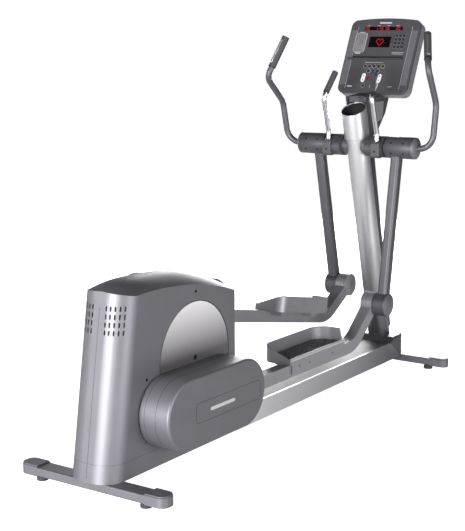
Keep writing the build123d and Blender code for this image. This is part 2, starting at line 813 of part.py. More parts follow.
with BuildPart() as crank_arms:
    for name, side, crank_angle in sides:
        pin_y, pin_z = pin_place(crank_angle)
        with BuildSketch(side_plane(low(side, crank_arm_inner, crank_arm_outer), 0, 0)):
            with Locations((crank_y, crank_height)):
                Circle(arm_hub_radius)
            with Locations((pin_y, pin_z)):
                Circle(arm_end_radius)
            make_hull()
            with Locations((crank_y, crank_height)):
                Circle(axle_radius, mode=Mode.SUBTRACT)
        extrude(amount=crank_arm_outer - crank_arm_inner)
        with BuildSketch(side_plane(low(side, crank_arm_outer, pin_end), pin_y, pin_z)):
            Circle(pin_radius)
        extrude(amount=pin_end - crank_arm_outer)
save(crank_arms, "crank_arms")

with BuildPart() as crank_discs:
    for name, side, crank_angle in sides:
        pin_y, pin_z = pin_place(crank_angle)
        with BuildSketch(side_plane(low(side, disc_inner, disc_inner + disc_thickness), 0, 0)):
            with Locations((crank_y, crank_height)):
                Circle(disc_radius)
                Circle(5, mode=Mode.SUBTRACT)
            with Locations((pin_y, pin_z)):
                Circle(pin_radius + 2, mode=Mode.SUBTRACT)
        extrude(amount=disc_thickness)
        with BuildSketch(side_plane(low(side, crank_arm_outer, disc_inner), crank_y, crank_height)):
            Circle(arm_hub_radius)
            Circle(5, mode=Mode.SUBTRACT)
        extrude(amount=disc_inner - crank_arm_outer)
save(crank_discs, "crank_discs")

pulley_web = 5
web_holes = 6
web_hole_place = 90
web_hole_radius = 26
with BuildPart() as drive_pulley:
    with BuildSketch(side_plane(pulley_inner, crank_y, crank_height)):
        Circle(pulley_radius)
        Circle(pulley_radius - 9, mode=Mode.SUBTRACT)
        Circle(arm_hub_radius)
    extrude(amount=pulley_width)
    with BuildSketch(side_plane(pulley_inner + (pulley_width - pulley_web) / 2, crank_y, crank_height)):
        Circle(pulley_radius - 5)
        with PolarLocations(web_hole_place, web_holes):
            Circle(web_hole_radius, mode=Mode.SUBTRACT)
    extrude(amount=pulley_web)
    with BuildSketch(side_plane(pulley_inner, crank_y, crank_height)):
        Circle(axle_radius)
    extrude(amount=pulley_width, mode=Mode.SUBTRACT)
save(drive_pulley, "drive_pulley")

flywheel_y = from_rear(flywheel_station)
bracket_outer = bracket_plate_inner + bracket_plate_thickness
with BuildPart() as flywheel:
    with BuildSketch(side_plane(-bracket_outer, flywheel_y, flywheel_height)):
        Circle(flywheel_shaft_radius)
    extrude(amount=2 * bracket_outer)
    with BuildSketch(side_plane(-flywheel_width - 4, flywheel_y, flywheel_height)):
        Circle(flywheel_radius)
    extrude(amount=flywheel_width)
    with BuildSketch(side_plane(pulley_inner, flywheel_y, flywheel_height)):
        Circle(small_pulley_radius)
    extrude(amount=pulley_width)
save(flywheel, "flywheel")

with BuildPart() as drive_belt:
    for thickness, mode in ((belt_thickness, Mode.ADD), (0, Mode.SUBTRACT)):
        with BuildSketch(side_plane(pulley_inner, 0, 0)):
            with Locations((crank_y, crank_height)):
                Circle(pulley_radius + belt_gap + thickness)
            with Locations((flywheel_y, flywheel_height)):
                Circle(small_pulley_radius + belt_gap + thickness)
            make_hull()
        extrude(amount=pulley_width, mode=mode)
save(drive_belt, "drive_belt")

stator_gap = 3
stator_radius = 70
with BuildPart() as generator_stator:
    with BuildSketch(side_plane(-bracket_plate_inner, flywheel_y, flywheel_height)):
        Circle(stator_radius)
        Circle(flywheel_shaft_radius + stator_gap, mode=Mode.SUBTRACT)
    extrude(amount=bracket_plate_inner - flywheel_width - 4 - stator_gap)
save(generator_stator, "generator_stator")

bearing_radius = 35
tie_radius = 9
tie = (crank_y - 45, 180)
with BuildPart() as drive_bracket:
    for side in (1, -1):
        with BuildSketch(side_plane(low(side, bracket_plate_inner, bracket_outer), 0, 0)):
            with BuildLine():
                FilletPolyline(
                    (flywheel_y - 95, beam_top),
                    (crank_y + 130, beam_top),
                    (crank_y + 62, crank_height + 62),
                    (crank_y - 62, crank_height + 62),
                    (flywheel_y - 60, flywheel_height + 45),
                    radius=(0, 30, 30, 30, 30),
                    close=True,
                )
            make_face()
            with Locations((crank_y, crank_height)):
                Circle(bearing_radius, mode=Mode.SUBTRACT)
            with Locations((flywheel_y, flywheel_height)):
                Circle(flywheel_shaft_radius + running_fit, mode=Mode.SUBTRACT)
        extrude(amount=bracket_plate_thickness)
    with BuildSketch(side_plane(-bracket_plate_inner, *tie)):
        Circle(tie_radius)
    extrude(amount=2 * bracket_plate_inner)
save(drive_bracket, "drive_bracket")

with BuildPart() as axle_bearings:
    for side in (1, -1):
        bearing_start = low(side, bracket_plate_inner - 3, bracket_outer + 3)
        with BuildSketch(side_plane(bearing_start, crank_y, crank_height)):
            Circle(bearing_radius)
            Circle(axle_radius + running_fit, mode=Mode.SUBTRACT)
        extrude(amount=bracket_plate_thickness + 6)
save(axle_bearings, "axle_bearings")

# ---------- drive housing ----------
housing_bottom = bar_top
housing_shift = math.tan(math.radians(housing_lean))
arch_y = from_rear(housing_arch_station)
arch_z = housing_side_top - housing_arch_radius
block_top = 790


def arch_height(y):
    """Height of the seam between the side shells and the top cover."""
    return arch_z + math.sqrt(housing_arch_radius**2 - (y - arch_y) ** 2)


rear_end = from_rear(0)
blocks = []
for inset, bottom in ((0, housing_bottom), (housing_wall, housing_bottom - 40)):
    # a leaning nose with rounded corners, cut off square at the front
    half = housing_half_width - inset
    nose = rear_end + inset / math.cos(math.radians(housing_lean))
    with BuildPart() as block:
        with BuildSketch(side_plane(-half, 0, 0)):
            with BuildLine():
                Polyline(
                    (nose + (bottom - housing_bottom) * housing_shift, bottom),
                    (housing_front - inset, bottom),
                    (housing_front - inset, block_top),
                    (nose + (block_top - housing_bottom) * housing_shift, block_top),
                    close=True,
                )
            make_face()
        extrude(amount=2 * half)
        nose_edges = block.faces().sort_by(Axis.Y)[0].edges().filter_by(Axis.X, reverse=True)
        fillet(nose_edges, radius=housing_corner - inset)
    blocks.append(block.part)
outer_block, inner_block = blocks

with BuildPart() as above_arch:
    with BuildSketch(side_plane(-2 * housing_half_width, 0, 0)):
        with BuildLine():
            ThreePointArc(
                (rear_end - 50, arch_height(rear_end - 50)),
                (arch_y, housing_side_top),
                (housing_front + 50, arch_height(housing_front + 50)),
            )
            Polyline(
                (housing_front + 50, arch_height(housing_front + 50)),
                (housing_front + 50, block_top + 50),
                (rear_end - 50, block_top + 50),
                (rear_end - 50, arch_height(rear_end - 50)),
            )
        make_face()
    extrude(amount=4 * housing_half_width)

vent_columns = 5
vent_rows = 4
vent_turn = 12  # degrees between columns, round the nose's corner
vent_first_turn = 4
vent_drop = 27
vent_top = 640
vent_width = 6
vent_height = 18
screw_places = ((from_rear(501), 637), (from_rear(211), 376))
screw_radius = 2.5
for side, name in ((1, "right"), (-1, "left")):
    with BuildPart() as housing_shell:
        add(outer_block)
        add(inner_block, mode=Mode.SUBTRACT)
        add(above_arch.part, mode=Mode.SUBTRACT)
        with BuildSketch(Plane.XZ.offset(-housing_front)):
            with Locations((0, (beam_bottom + beam_top) / 2)):
                Rectangle(2 * beam_half_width + 1, beam_top - beam_bottom + 8)
        extrude(amount=2 * housing_wall, mode=Mode.SUBTRACT)
        with BuildSketch(side_plane(-housing_half_width, crank_y, crank_height)):
            Circle(disc_radius + disc_gap)
        extrude(amount=2 * housing_half_width, mode=Mode.SUBTRACT)
        with BuildSketch(Plane.XZ.offset(-rear_end + 50)):
            for column_index in range(vent_columns):
                turn = math.radians(vent_first_turn + column_index * vent_turn)
                vent_x = housing_half_width - housing_corner * (1 - math.sin(turn))
                for row in range(vent_rows):
                    with Locations((side * vent_x, vent_top - row * vent_drop)):
                        SlotOverall(vent_height, vent_width * math.cos(turn), rotation=90)
        extrude(amount=-300, mode=Mode.SUBTRACT)
        for y, z in screw_places:
            with BuildSketch(side_plane(low(side, 0, housing_half_width), y, z)):
                Circle(screw_radius)
            extrude(amount=housing_half_width, mode=Mode.SUBTRACT)
        split(bisect_by=Plane.YZ, keep=Keep.TOP if side > 0 else Keep.BOTTOM)
    save(housing_shell, f"{name}_housing_shell")

# distance from the rear end, and the share of the full crown there
crown_stations = (
    (10, 0.1),
    (70, 0.35),
    (130, 0.74),
    (230, 0.98),
    (400, 1),
    (600, 0.95),
    (700, 0.72),
    (760, 0.4),
)
crown_half = housing_half_width + 8
domes = []
for inset in (0, housing_wall):
    with BuildPart() as dome:
        for station, share in crown_stations:
            y = from_rear(station)
            half = crown_half - inset
            with BuildSketch(Plane(origin=(0, y, arch_height(y) - inset), x_dir=(1, 0, 0), z_dir=(0, -1, 0))):
                with BuildLine():
                    Polyline((-half, 0), (-half, -30), (half, -30), (half, 0))
                    ThreePointArc((half, 0), (0, housing_crown * share), (-half, 0))
                make_face()
        loft()
    domes.append(dome.part)

with BuildPart() as housing_top_cover:
    add(domes[0])
    add(outer_block, mode=Mode.INTERSECT)
    add(above_arch.part, mode=Mode.INTERSECT)
    with BuildPart(mode=Mode.PRIVATE) as hollow:
        add(domes[1])
        add(inner_block, mode=Mode.INTERSECT)
    add(hollow.part, mode=Mode.SUBTRACT)
save(housing_top_cover, "housing_top_cover")

screw_head = 5
screw_head_height = 1.6
hex_radius = 2
with BuildPart() as cover_screws:
    for side in (1, -1):
        for y, z in screw_places:
            start = low(side, housing_half_width - housing_wall, housing_half_width)
            with BuildSketch(side_plane(start, y, z)):
                Circle(screw_radius)
            extrude(amount=housing_wall)
            head_start = low(side, housing_half_width, housing_half_width + screw_head_height)
            with BuildSketch(side_plane(head_start, y, z)):
                Circle(screw_head)
                RegularPolygon(hex_radius, 6, mode=Mode.SUBTRACT)
            extrude(amount=screw_head_height)
save(cover_screws, "cover_screws")

# ---------- console ----------
tilt = math.radians(face_tilt)
face_y = pivot_y + face_forward
face_z = pivot_height + face_rise
face_plane = Plane(
    origin=(0, face_y, face_z), x_dir=(1, 0, 0), z_dir=(0, -math.cos(tilt), math.sin(tilt))
)
face_normal = Axis(face_plane.origin, face_plane.z_dir)


def on_face(up, depth):
    """Side-view point at a height on the console's face and a depth behind it."""
    return (
        face_y + up * math.sin(tilt) + depth * math.cos(tilt),
        face_z + up * math.cos(tilt) - depth * math.sin(tilt),
    )


def on_column(forward, along):
    """Side-view point in front of the column's axis, and along it from the pivot."""
    return (
        pivot_y + forward * math.cos(lean) - along * math.sin(lean),
        pivot_height + forward * math.sin(lean) + along * math.cos(lean),
    )


with BuildSketch() as face_outline:
    with BuildLine():
        Line((-face_width / 2, face_length / 2), (-face_width / 2, -face_length / 2))
        Line((-face_width / 2, -face_length / 2), (face_width / 2, -face_length / 2))
        Line((face_width / 2, -face_length / 2), (face_width / 2, face_length / 2))
        ThreePointArc(
            (face_width / 2, face_length / 2),
            (0, face_length / 2 + face_arch),
            (-face_width / 2, face_length / 2),
        )
    make_face()
    fillet(face_outline.vertices(), radius=face_corner)

windows = ((-7, 137, 192, 17), (-12, 72, 108, 52))  # across, up, width, height
minis = ((-29, -102, 11, 16), (6, -102, 11, 16))
panel = (-110, 68, 56, 88)
number_keys = [(86 + 18 * column, 75 + 18 * row) for column in (-1, 0, 1) for row in (-1.5, -0.5, 0.5, 1.5)]
program_keys = [(-57 + 22.5 * index, -46) for index in range(5)]
program_keys += [(-35 + 23 * index, -69) for index in range(3)] + [(-47, -139)]
level_keys = ((-53, -102), (28, -104))
stop_key = (7, -139)
number_key_radius = 6.5
program_key_radius = 7.5
level_key_size = (42, 18)
stop_key_radius = 13
window_fit = 0.2
board_depth = 15
board_thickness = 1.6
key_proud = 2
ledge = (-16, -12, 274, 6)
ledge_reach = 9
groove = (-16, -3, 274, 12)
groove_depth = 4
with BuildPart() as console_front:
    with BuildSketch(face_plane.offset(-face_thickness)):
        add(face_outline.sketch)
    extrude(amount=face_thickness)
    fillet(console_front.faces().sort_by(face_normal)[-1].edges(), radius=3)
    with BuildSketch(face_plane):
        with Locations(ledge[:2]):
            Rectangle(*ledge[2:])
    extrude(amount=ledge_reach)
    with BuildSketch(face_plane.offset(-board_depth)):
        with GridLocations(face_width - 90, face_length - 90, 2, 2):
            Circle(5)
    extrude(amount=board_depth - face_thickness)
    with BuildSketch(face_plane.offset(-groove_depth)):
        with Locations(groove[:2]):
            Rectangle(*groove[2:])
    extrude(amount=groove_depth, mode=Mode.SUBTRACT)
    with BuildSketch(face_plane.offset(-face_thickness)):
        for across, up, width, height in windows + minis:
            with Locations((across, up)):
                Rectangle(width + 2 * window_fit, height + 2 * window_fit)
        with Locations(*number_keys):
            Circle(number_key_radius + key_gap)
        with Locations(*program_keys):
            Circle(program_key_radius + key_gap)
        for place in level_keys:
            with Locations(Location(place, 85)):
                SlotOverall(level_key_size[0] + 2 * key_gap, level_key_size[1] + 2 * key_gap)
        with Locations(stop_key):
            Circle(stop_key_radius + key_gap)
    extrude(amount=face_thickness, mode=Mode.SUBTRACT)
save(console_front, "console_front")

with BuildPart() as console_display:
    with BuildSketch(face_plane.offset(-face_thickness)):
        for across, up, width, height in windows + minis:
            with Locations((across, up)):
                Rectangle(width, height)
    extrude(amount=face_thickness - 1)
    with BuildSketch(face_plane):
        with Locations(panel[:2]):
            RectangleRounded(*panel[2:], 9)
    extrude(amount=2)
save(console_display, "console_display")

key_root = -face_thickness - board_thickness
key_length = key_proud - key_root
with BuildPart() as number_pad:
    with BuildSketch(face_plane.offset(key_root)):
        with Locations(*number_keys):
            Circle(number_key_radius)
    extrude(amount=key_length)
save(number_pad, "number_keys")

with BuildPart() as program_pad:
    with BuildSketch(face_plane.offset(key_root)):
        with Locations(*program_keys):
            Circle(program_key_radius)
    extrude(amount=key_length)
save(program_pad, "program_keys")

with BuildPart() as level_pad:
    with BuildSketch(face_plane.offset(key_root)):
        for place in level_keys:
            with Locations(Location(place, 85)):
                SlotOverall(*level_key_size)
    extrude(amount=key_length)
save(level_pad, "level_keys")

with BuildPart() as stop_button:
    with BuildSketch(face_plane.offset(key_root)):
        with Locations(stop_key):
            Circle(stop_key_radius)
    extrude(amount=key_length)
save(stop_button, "stop_key")

with BuildPart() as console_board:
    with BuildSketch(face_plane.offset(-board_depth - board_thickness)):
        RectangleRounded(face_width - 60, face_length - 60, 10)
    extrude(amount=board_thickness)
save(console_board, "console_board")

back_corner = 16
with BuildPart() as console_back:
    with BuildSketch(face_plane.offset(-face_thickness - shell_depth)):
        add(face_outline.sketch)
    extrude(amount=shell_depth)
    fillet(console_back.faces().sort_by(face_normal)[0].edges(), radius=back_corner)
    with BuildPart(mode=Mode.PRIVATE) as back_inside:
        with BuildSketch(face_plane.offset(-face_thickness - shell_depth + shell_wall)):
            offset(face_outline.sketch, amount=-shell_wall)
        extrude(amount=shell_depth)
        fillet(back_inside.faces().sort_by(face_normal)[0].edges(), radius=back_corner - shell_wall)
    add(back_inside.part, mode=Mode.SUBTRACT)
save(console_back, "console_back")

# ---------- console bracket ----------
neck_half = 50
neck_wall = 4
shelf_half = 62
shelf_bottom = 190
shelf_top = 211
neck_front = 20  # behind the console
console_depth = face_thickness + shell_depth
seat = -face_length / 2 - 0.3
with BuildPart() as console_bracket:
    with BuildSketch(side_plane(-neck_half, 0, 0)) as neck_outline:
        with BuildLine():
            Polyline(
                on_column(38, 24),
                on_column(20, 62),
                on_column(20, shelf_top + 5),
                on_face(seat, 0),
                on_face(seat, console_depth + 0.3),
                on_face(-60, console_depth + 0.3),
                on_face(-60, console_depth + neck_front),
                on_face(-232, console_depth + neck_front),
                on_column(112, 44),
                close=True,
            )
        make_face()
    extrude(amount=2 * neck_half)
    with BuildSketch(side_plane(-neck_half + neck_wall, 0, 0)):
        offset(neck_outline.sketch_local, amount=-neck_wall)
    extrude(amount=2 * (neck_half - neck_wall), mode=Mode.SUBTRACT)
    with BuildSketch(side_plane(-shelf_half, 0, 0)):
        with BuildLine():
            Polyline(
                (pivot_y - 1, pivot_height + shelf_bottom),
                (pivot_y - 1, pivot_height + shelf_top),
                (pivot_y + 103, pivot_height + shelf_top),
                (pivot_y + 103, pivot_height + shelf_bottom),
                close=True,
            )
        make_face()
    extrude(amount=2 * shelf_half)
    with BuildSketch(column_plane):
        Circle(column_radius)
    extrude(amount=column_rise, mode=Mode.SUBTRACT)
    with BuildSketch(column_plane.offset(column_rise)):
        Circle(holder_radius)
    extrude(amount=holder_rim_front + 60, mode=Mode.SUBTRACT)
    with BuildSketch(side_plane(-neck_half, pivot_y, pivot_height)):
        Circle(crossbar_radius + body_gap)
    extrude(amount=2 * neck_half, mode=Mode.SUBTRACT)
save(console_bracket, "console_bracket")

side_cover_thickness = 5
with BuildPart() as bracket_side_covers:
    for side in (1, -1):
        with BuildSketch(side_plane(low(side, neck_half, neck_half + side_cover_thickness), 0, 0)):
            with BuildLine():
                FilletPolyline(
                    (pivot_y + 42, pivot_height + shelf_bottom - 1),
                    (pivot_y + 132, pivot_height + shelf_bottom - 1),
                    (pivot_y + 122, pivot_height + 112),
                    (pivot_y + 56, pivot_height + 96),
                    radius=(0.5, 0.5, 14, 10),
                    close=True,
                )
            make_face()
        extrude(amount=side_cover_thickness)
save(bracket_side_covers, "bracket_side_covers")

# ---------- figures that the record's joints use ----------
crank_limits = (-23, 135)
far_right = arm_angle(rest_crank_angle + crank_limits[1])
far_left = arm_angle(rest_crank_angle - 180 + crank_limits[1])
swing_right = (far_right - arm_angle(rest_crank_angle)) / crank_limits[1]
swing_left = (far_left - arm_angle(rest_crank_angle - 180)) / crank_limits[1]
turn_right = (lever_angle(rest_crank_angle + crank_limits[1]) - lever_angle(rest_crank_angle)) / crank_limits[1]
turn_left = (
    lever_angle(rest_crank_angle - 180 + crank_limits[1]) - lever_angle(rest_crank_angle - 180)
) / crank_limits[1]
print("crank centre", crank, "pivot", pivot, "lever length", round(lever_length, 2))
print("arm ratios", swing_right, swing_left)
print("lever ratios", turn_right - swing_right, turn_left - swing_left)
print("joints", joint_place(arm_angle(rest_crank_angle)), joint_place(arm_angle(rest_crank_angle - 180)))
print("full arm range", [round(limit([arm_angle(turn) for turn in range(360)]), 2) for limit in (min, max)])
print("flywheel", (flywheel_y, flywheel_height), "belt ratio", pulley_radius / small_pulley_radius)
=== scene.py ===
import json
import math

import bmesh
import bpy
from mathutils import Matrix, Vector


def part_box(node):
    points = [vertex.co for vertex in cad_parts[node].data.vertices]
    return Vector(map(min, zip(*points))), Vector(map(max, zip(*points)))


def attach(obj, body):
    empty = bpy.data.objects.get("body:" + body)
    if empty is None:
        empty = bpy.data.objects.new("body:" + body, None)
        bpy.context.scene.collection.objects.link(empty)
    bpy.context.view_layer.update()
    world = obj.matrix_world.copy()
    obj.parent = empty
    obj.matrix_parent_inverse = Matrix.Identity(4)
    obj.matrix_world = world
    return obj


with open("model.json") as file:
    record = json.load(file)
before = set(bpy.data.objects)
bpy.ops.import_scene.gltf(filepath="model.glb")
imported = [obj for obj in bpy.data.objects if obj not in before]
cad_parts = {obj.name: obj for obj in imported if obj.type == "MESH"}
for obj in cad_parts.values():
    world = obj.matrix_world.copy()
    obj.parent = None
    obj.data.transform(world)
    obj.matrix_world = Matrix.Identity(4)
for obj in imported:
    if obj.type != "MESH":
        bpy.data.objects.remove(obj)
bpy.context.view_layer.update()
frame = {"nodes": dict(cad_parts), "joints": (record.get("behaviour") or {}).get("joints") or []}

joints = {joint["name"]: Vector(joint["pos_m"]) for joint in frame["joints"] if "pos_m" in joint}
mm = 0.001
asBuilt = Matrix.Identity(4)  # the place of a piece that is already given in the machine's own axes
sides = (("right", 1), ("left", -1))


# shape tools, all in metres

def axesAt(origin, across, up):
    # a piece's own axes: across, up, and out of the page
    across, up = Vector(across).normalized(), Vector(up).normalized()
    out = across.cross(up)
    place = Matrix((across, up, out)).transposed().to_4x4()
    place.translation = Vector(origin)
    return place


def keep(name, mesh, place, material, body, bevel=0, smooth=True):
    # puts a finished mesh in the scene, softens its edges and hangs it on its body
    piece = bpy.data.objects.new(name, mesh)
    bpy.context.scene.collection.objects.link(piece)
    piece.matrix_world = place
    piece.data.materials.append(material)
    if smooth:
        for face in mesh.polygons:
            face.use_smooth = True
    if bevel:
        edge = piece.modifiers.new("edge", "BEVEL")
        edge.width = bevel
        edge.segments = 2
        edge.limit_method = "ANGLE"
        edge.angle_limit = math.radians(35)
        edge.harden_normals = True
    elif smooth:
        split = piece.modifiers.new("crisp", "EDGE_SPLIT")
        split.split_angle = math.radians(40)
    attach(piece, body)
    return piece


def closeMesh(name, shape, outward=True):
    # turns a finished bmesh into a mesh; outward makes its faces look out
    if outward:
        bmesh.ops.recalc_face_normals(shape, faces=shape.faces)
    mesh = bpy.data.meshes.new(name)
    shape.to_mesh(mesh)
    shape.free()
    return mesh


def stitch(shape, first, second, closed=True):
    # a row of faces between two rings of the same number of points
    count = len(first)
    for step in range(count if closed else count - 1):
        after = (step + 1) % count
        shape.faces.new((first[step], first[after], second[after], second[step]))


def slabMesh(name, outlines, low, high):
    # outlines pushed straight out from low to high, all in one mesh
    shape = bmesh.new()
    for outline in outlines:
        ends = [[shape.verts.new((u, v, w)) for u, v in outline] for w in (low, high)]
        shape.faces.new(list(reversed(ends[0])))
        shape.faces.new(ends[1])
        stitch(shape, *ends)
    return closeMesh(name, shape)


def bandMesh(name, inner, outer, low, high):
    # a closed frame between two outlines with the same number of points
    shape = bmesh.new()
    rings = [[shape.verts.new((u, v, w)) for u, v in line] for line, w in
             ((inner, low), (inner, high), (outer, high), (outer, low))]
    for first, second in zip(rings, rings[1:] + rings[:1]):
        stitch(shape, first, second)
    return closeMesh(name, shape)


def latheMesh(name, profiles, centres=((0, 0),), steps=40):
    # profiles of (radius, height) turned about the out axis, once at each centre
    shape = bmesh.new()
    for centreU, centreV in centres:
        for profile in profiles:
            rings = []
            for radius, height in profile:
                if radius < 1e-7:
                    rings.append([shape.verts.new((centreU, centreV, height))])
                    continue
                rings.append([
                    shape.verts.new((
                        centreU + radius * math.cos(2 * math.pi * step / steps),
                        centreV + radius * math.sin(2 * math.pi * step / steps),
                        height,
                    ))
                    for step in range(steps)
                ])
            for first, second in zip(rings, rings[1:]):
                for step in range(steps):
                    after = (step + 1) % steps
                    if len(first) == 1:
                        shape.faces.new((first[0], second[step], second[after]))
                    elif len(second) == 1:
                        shape.faces.new((first[step], first[after], second[0]))
                    else:
                        shape.faces.new((first[step], first[after], second[after], second[step]))
    return closeMesh(name, shape)


def turned(name, profiles, place, material, body, steps=40):
    return keep(name, latheMesh(name, profiles, steps=steps), place, material, body)


def arcPoints(centre, radius, start, end, steps):
    # points round an arc, in degrees
    return [
        (
            centre[0] + radius * math.cos(math.radians(start + (end - start) * step / steps)),
            centre[1] + radius * math.sin(math.radians(start + (end - start) * step / steps)),
        )
        for step in range(steps + 1)
    ]


def roundedBox(centre, width, height, radius, steps=6):
    points = []
    for turn, signU, signV in ((0, 1, 1), (90, -1, 1), (180, -1, -1), (270, 1, -1)):
        corner = (centre[0] + signU * (width / 2 - radius), centre[1] + signV * (height / 2 - radius))
        points += arcPoints(corner, radius, turn, turn + 90, steps)
    return points


def pill(start, end, radius, steps=24):
    # a stadium whose two round ends sit level, from start to end
    return arcPoints(end, radius, -90, 90, steps) + arcPoints(start, radius, 90, 270, steps)


def moved(outline, turn, shift):
    cosine, sine = math.cos(math.radians(turn)), math.sin(math.radians(turn))
    return [(u * cosine - v * sine + shift[0], u * sine + v * cosine + shift[1]) for u, v in outline]


def tubePiece(name, points, radius, material, body, closed=False):
    # a round bead or rod along points, kept as a mesh
    line = bpy.data.curves.new(name, "CURVE")
    line.dimensions = "3D"
    spline = line.splines.new("POLY")
    spline.points.add(len(points) - 1)
    for point, target in zip(spline.points, points):
        point.co = (*target, 1)
    spline.use_cyclic_u = closed
    line.bevel_depth = radius
    line.bevel_resolution = 3
    line.use_fill_caps = True
    holder = bpy.data.objects.new(name + "_line", line)
    bpy.context.scene.collection.objects.link(holder)
    bpy.context.view_layer.update()
    mesh = bpy.data.meshes.new_from_object(holder.evaluated_get(bpy.context.evaluated_depsgraph_get()))
    bpy.data.objects.remove(holder)
    return keep(name, mesh, asBuilt, material, body)


# material tools

def linear(code):
    # sRGB hex to the renderer's linear values
    values = [int(code[at:at + 2], 16) / 255 for at in (0, 2, 4)]
    return (*[v / 12.92 if v <= 0.04045 else ((v + 0.055) / 1.055) ** 2.4 for v in values], 1)


def addNode(tree, kind, settings=None, links=None):
    node = tree.nodes.new(kind)
    for key, value in (settings or {}).items():
        if isinstance(key, int) or key in node.inputs:
            node.inputs[key].default_value = value
        else:
            setattr(node, key, value)
    for key, socket in (links or {}).items():
        tree.links.new(socket, node.inputs[key])
    return node


def mixOf(tree, factor, first, second):
    # two colours mixed by a socket; each colour is a hex code or another node's output
    node = addNode(tree, "ShaderNodeMix", {"data_type": "RGBA"}, {0: factor})
    for index, colour in ((6, first), (7, second)):
        if isinstance(colour, str):
            node.inputs[index].default_value = linear(colour)
        else:
            tree.links.new(colour, node.inputs[index])
    return node.outputs[2]


def finish(name, look):
    # Colour drifts between two shades over "patch" mm, gloss drifts with it, and a fine relief
    # of "grain" mm across and "relief" mm high breaks the highlight.
    material = bpy.data.materials.new(name)
    material.use_nodes = True
    tree = material.node_tree
    shader = tree.nodes["Principled BSDF"]
    for socket, value in look.get("shader", {}).items():
        shader.inputs[socket].default_value = value
    place = addNode(tree, "ShaderNodeTexCoord")
    drift = addNode(tree, "ShaderNodeTexNoise", {"Scale": 1000 / look["patch"], "Detail": 3.0},
                    {"Vector": place.outputs["Object"]})
    shades = mixOf(tree, drift.outputs["Fac"], look["dark"], look["light"])
    tree.links.new(shades, shader.inputs["Base Color"])
    low, high = look["gloss"]
    sheen = addNode(tree, "ShaderNodeMapRange", {"To Min": low, "To Max": high},
                    {"Value": drift.outputs["Fac"]})
    tree.links.new(sheen.outputs["Result"], shader.inputs["Roughness"])
    if look.get("relief"):
        grain = addNode(tree, "ShaderNodeTexNoise", {"Scale": 1000 / look["grain"], "Detail": 2.0},
                        {"Vector": place.outputs["Object"]})
        bump = addNode(tree, "ShaderNodeBump", {"Strength": 0.6, "Distance": look["relief"] * mm},
                       {"Height": grain.outputs["Fac"]})
        tree.links.new(bump.outputs["Normal"], shader.inputs["Normal"])
    return material


def brushed(name, look):
    # a finish whose fine lines run one way: the noise is stretched along that axis
    material = finish(name, look)
    tree = material.node_tree
    shader = tree.nodes["Principled BSDF"]
    place = addNode(tree, "ShaderNodeTexCoord")
    stretched = addNode(tree, "ShaderNodeMapping", {"Scale": look["stretch"]},
                        {"Vector": place.outputs["Object"]})
    lines = addNode(tree, "ShaderNodeTexNoise", {"Scale": 1000 / look["line"], "Detail": 2.0},
                    {"Vector": stretched.outputs["Vector"]})
    bump = addNode(tree, "ShaderNodeBump", {"Strength": 0.35, "Distance": look["lineDepth"] * mm},
                   {"Height": lines.outputs["Fac"]})
    tree.links.new(bump.outputs["Normal"], shader.inputs["Normal"])
    return material


def paintedLightFade(material, axis, span, codes):
    # paints light and shade into the base colour: it runs from the first code to the second between two
    # places on an axis
    tree = material.node_tree
    place = addNode(tree, "ShaderNodeTexCoord")
    ways = addNode(tree, "ShaderNodeSeparateXYZ", {}, {"Vector": place.outputs["Object"]})
    share = addNode(tree, "ShaderNodeMapRange", {"From Min": span[0], "From Max": span[1]},
                    {"Value": ways.outputs[axis]})
    tone = mixOf(tree, share.outputs["Result"], *codes)
    tree.links.new(tone, tree.nodes["Principled BSDF"].inputs["Base Color"])


def glow(name, code, strength):
    material = bpy.data.materials.new(name)
    material.use_nodes = True
    shader = material.node_tree.nodes["Principled BSDF"]
    shader.inputs["Base Color"].default_value = linear(code)
    shader.inputs["Emission Color"].default_value = linear(code)
    shader.inputs["Emission Strength"].default_value = strength
    shader.inputs["Roughness"].default_value = 0.4
    return material


# silver-grey metallic lacquer on moulded ABS: soft wide highlights over a fine flake
silverLacquer = finish("silverLacquerOnAbs", {
    "dark": "737278", "light": "7d7c82", "patch": 90, "gloss": (0.46, 0.54), "grain": 0.9,
    "relief": 0.05, "shader": {"Metallic": 0.6, "Coat Weight": 0.08, "Coat Roughness": 0.4},
})
# the same lacquer a shade darker, on the arms, moving handles and cross tube
greyLacquer = finish("greyLacquerOnSteel", {
    "dark": "59585e", "light": "626167", "patch": 70, "gloss": (0.42, 0.5), "grain": 0.9,
    "relief": 0.05, "shader": {"Metallic": 0.5, "Coat Weight": 0.06, "Coat Roughness": 0.4},
})
# the silver lacquer painted lighter on the levers and trays: painted light, as they face the light
paintedLightLacquer = finish("silverLacquerPaintedLight", {
    "dark": "96959b", "light": "a3a2a8", "patch": 80, "gloss": (0.4, 0.5), "grain": 0.9,
    "relief": 0.05, "shader": {"Metallic": 0.5, "Coat Weight": 0.08, "Coat Roughness": 0.4},
})
# bright silver powder coat: the column stays light even in shade, with a slight orange peel
brightCoat = finish("silverPowderCoatPaintedShade", {
    "dark": "d8d7da", "light": "e2e1e4", "patch": 60, "gloss": (0.34, 0.4), "grain": 1.6,
    "relief": 0.02, "shader": {"Metallic": 0.9, "Coat Weight": 0.1, "Coat Roughness": 0.3},
})
paintedLightFade(brightCoat, "Z", (0.25, 0.62), ("7d7c81", "dcdbde"))  # painted shade: deeper near the dark base cover, towards the bottom of the column
# anodised aluminium side panels: satin, with painted light and shade: near white at the rear and deeper in
# tone towards the column
panelAlloy = finish("anodisedAlloyPanelPaintedLight", {
    "dark": "c8c7cb", "light": "d3d2d6", "patch": 60, "gloss": (0.34, 0.42), "grain": 1.2,
    "relief": 0.04, "shader": {"Metallic": 0.6},
})
# painted light and shade along Y: light towards the rear, dark towards the front
paintedLightFade(panelAlloy, "Y", (-0.5, 0.9), ("fbfafc", "838288"))
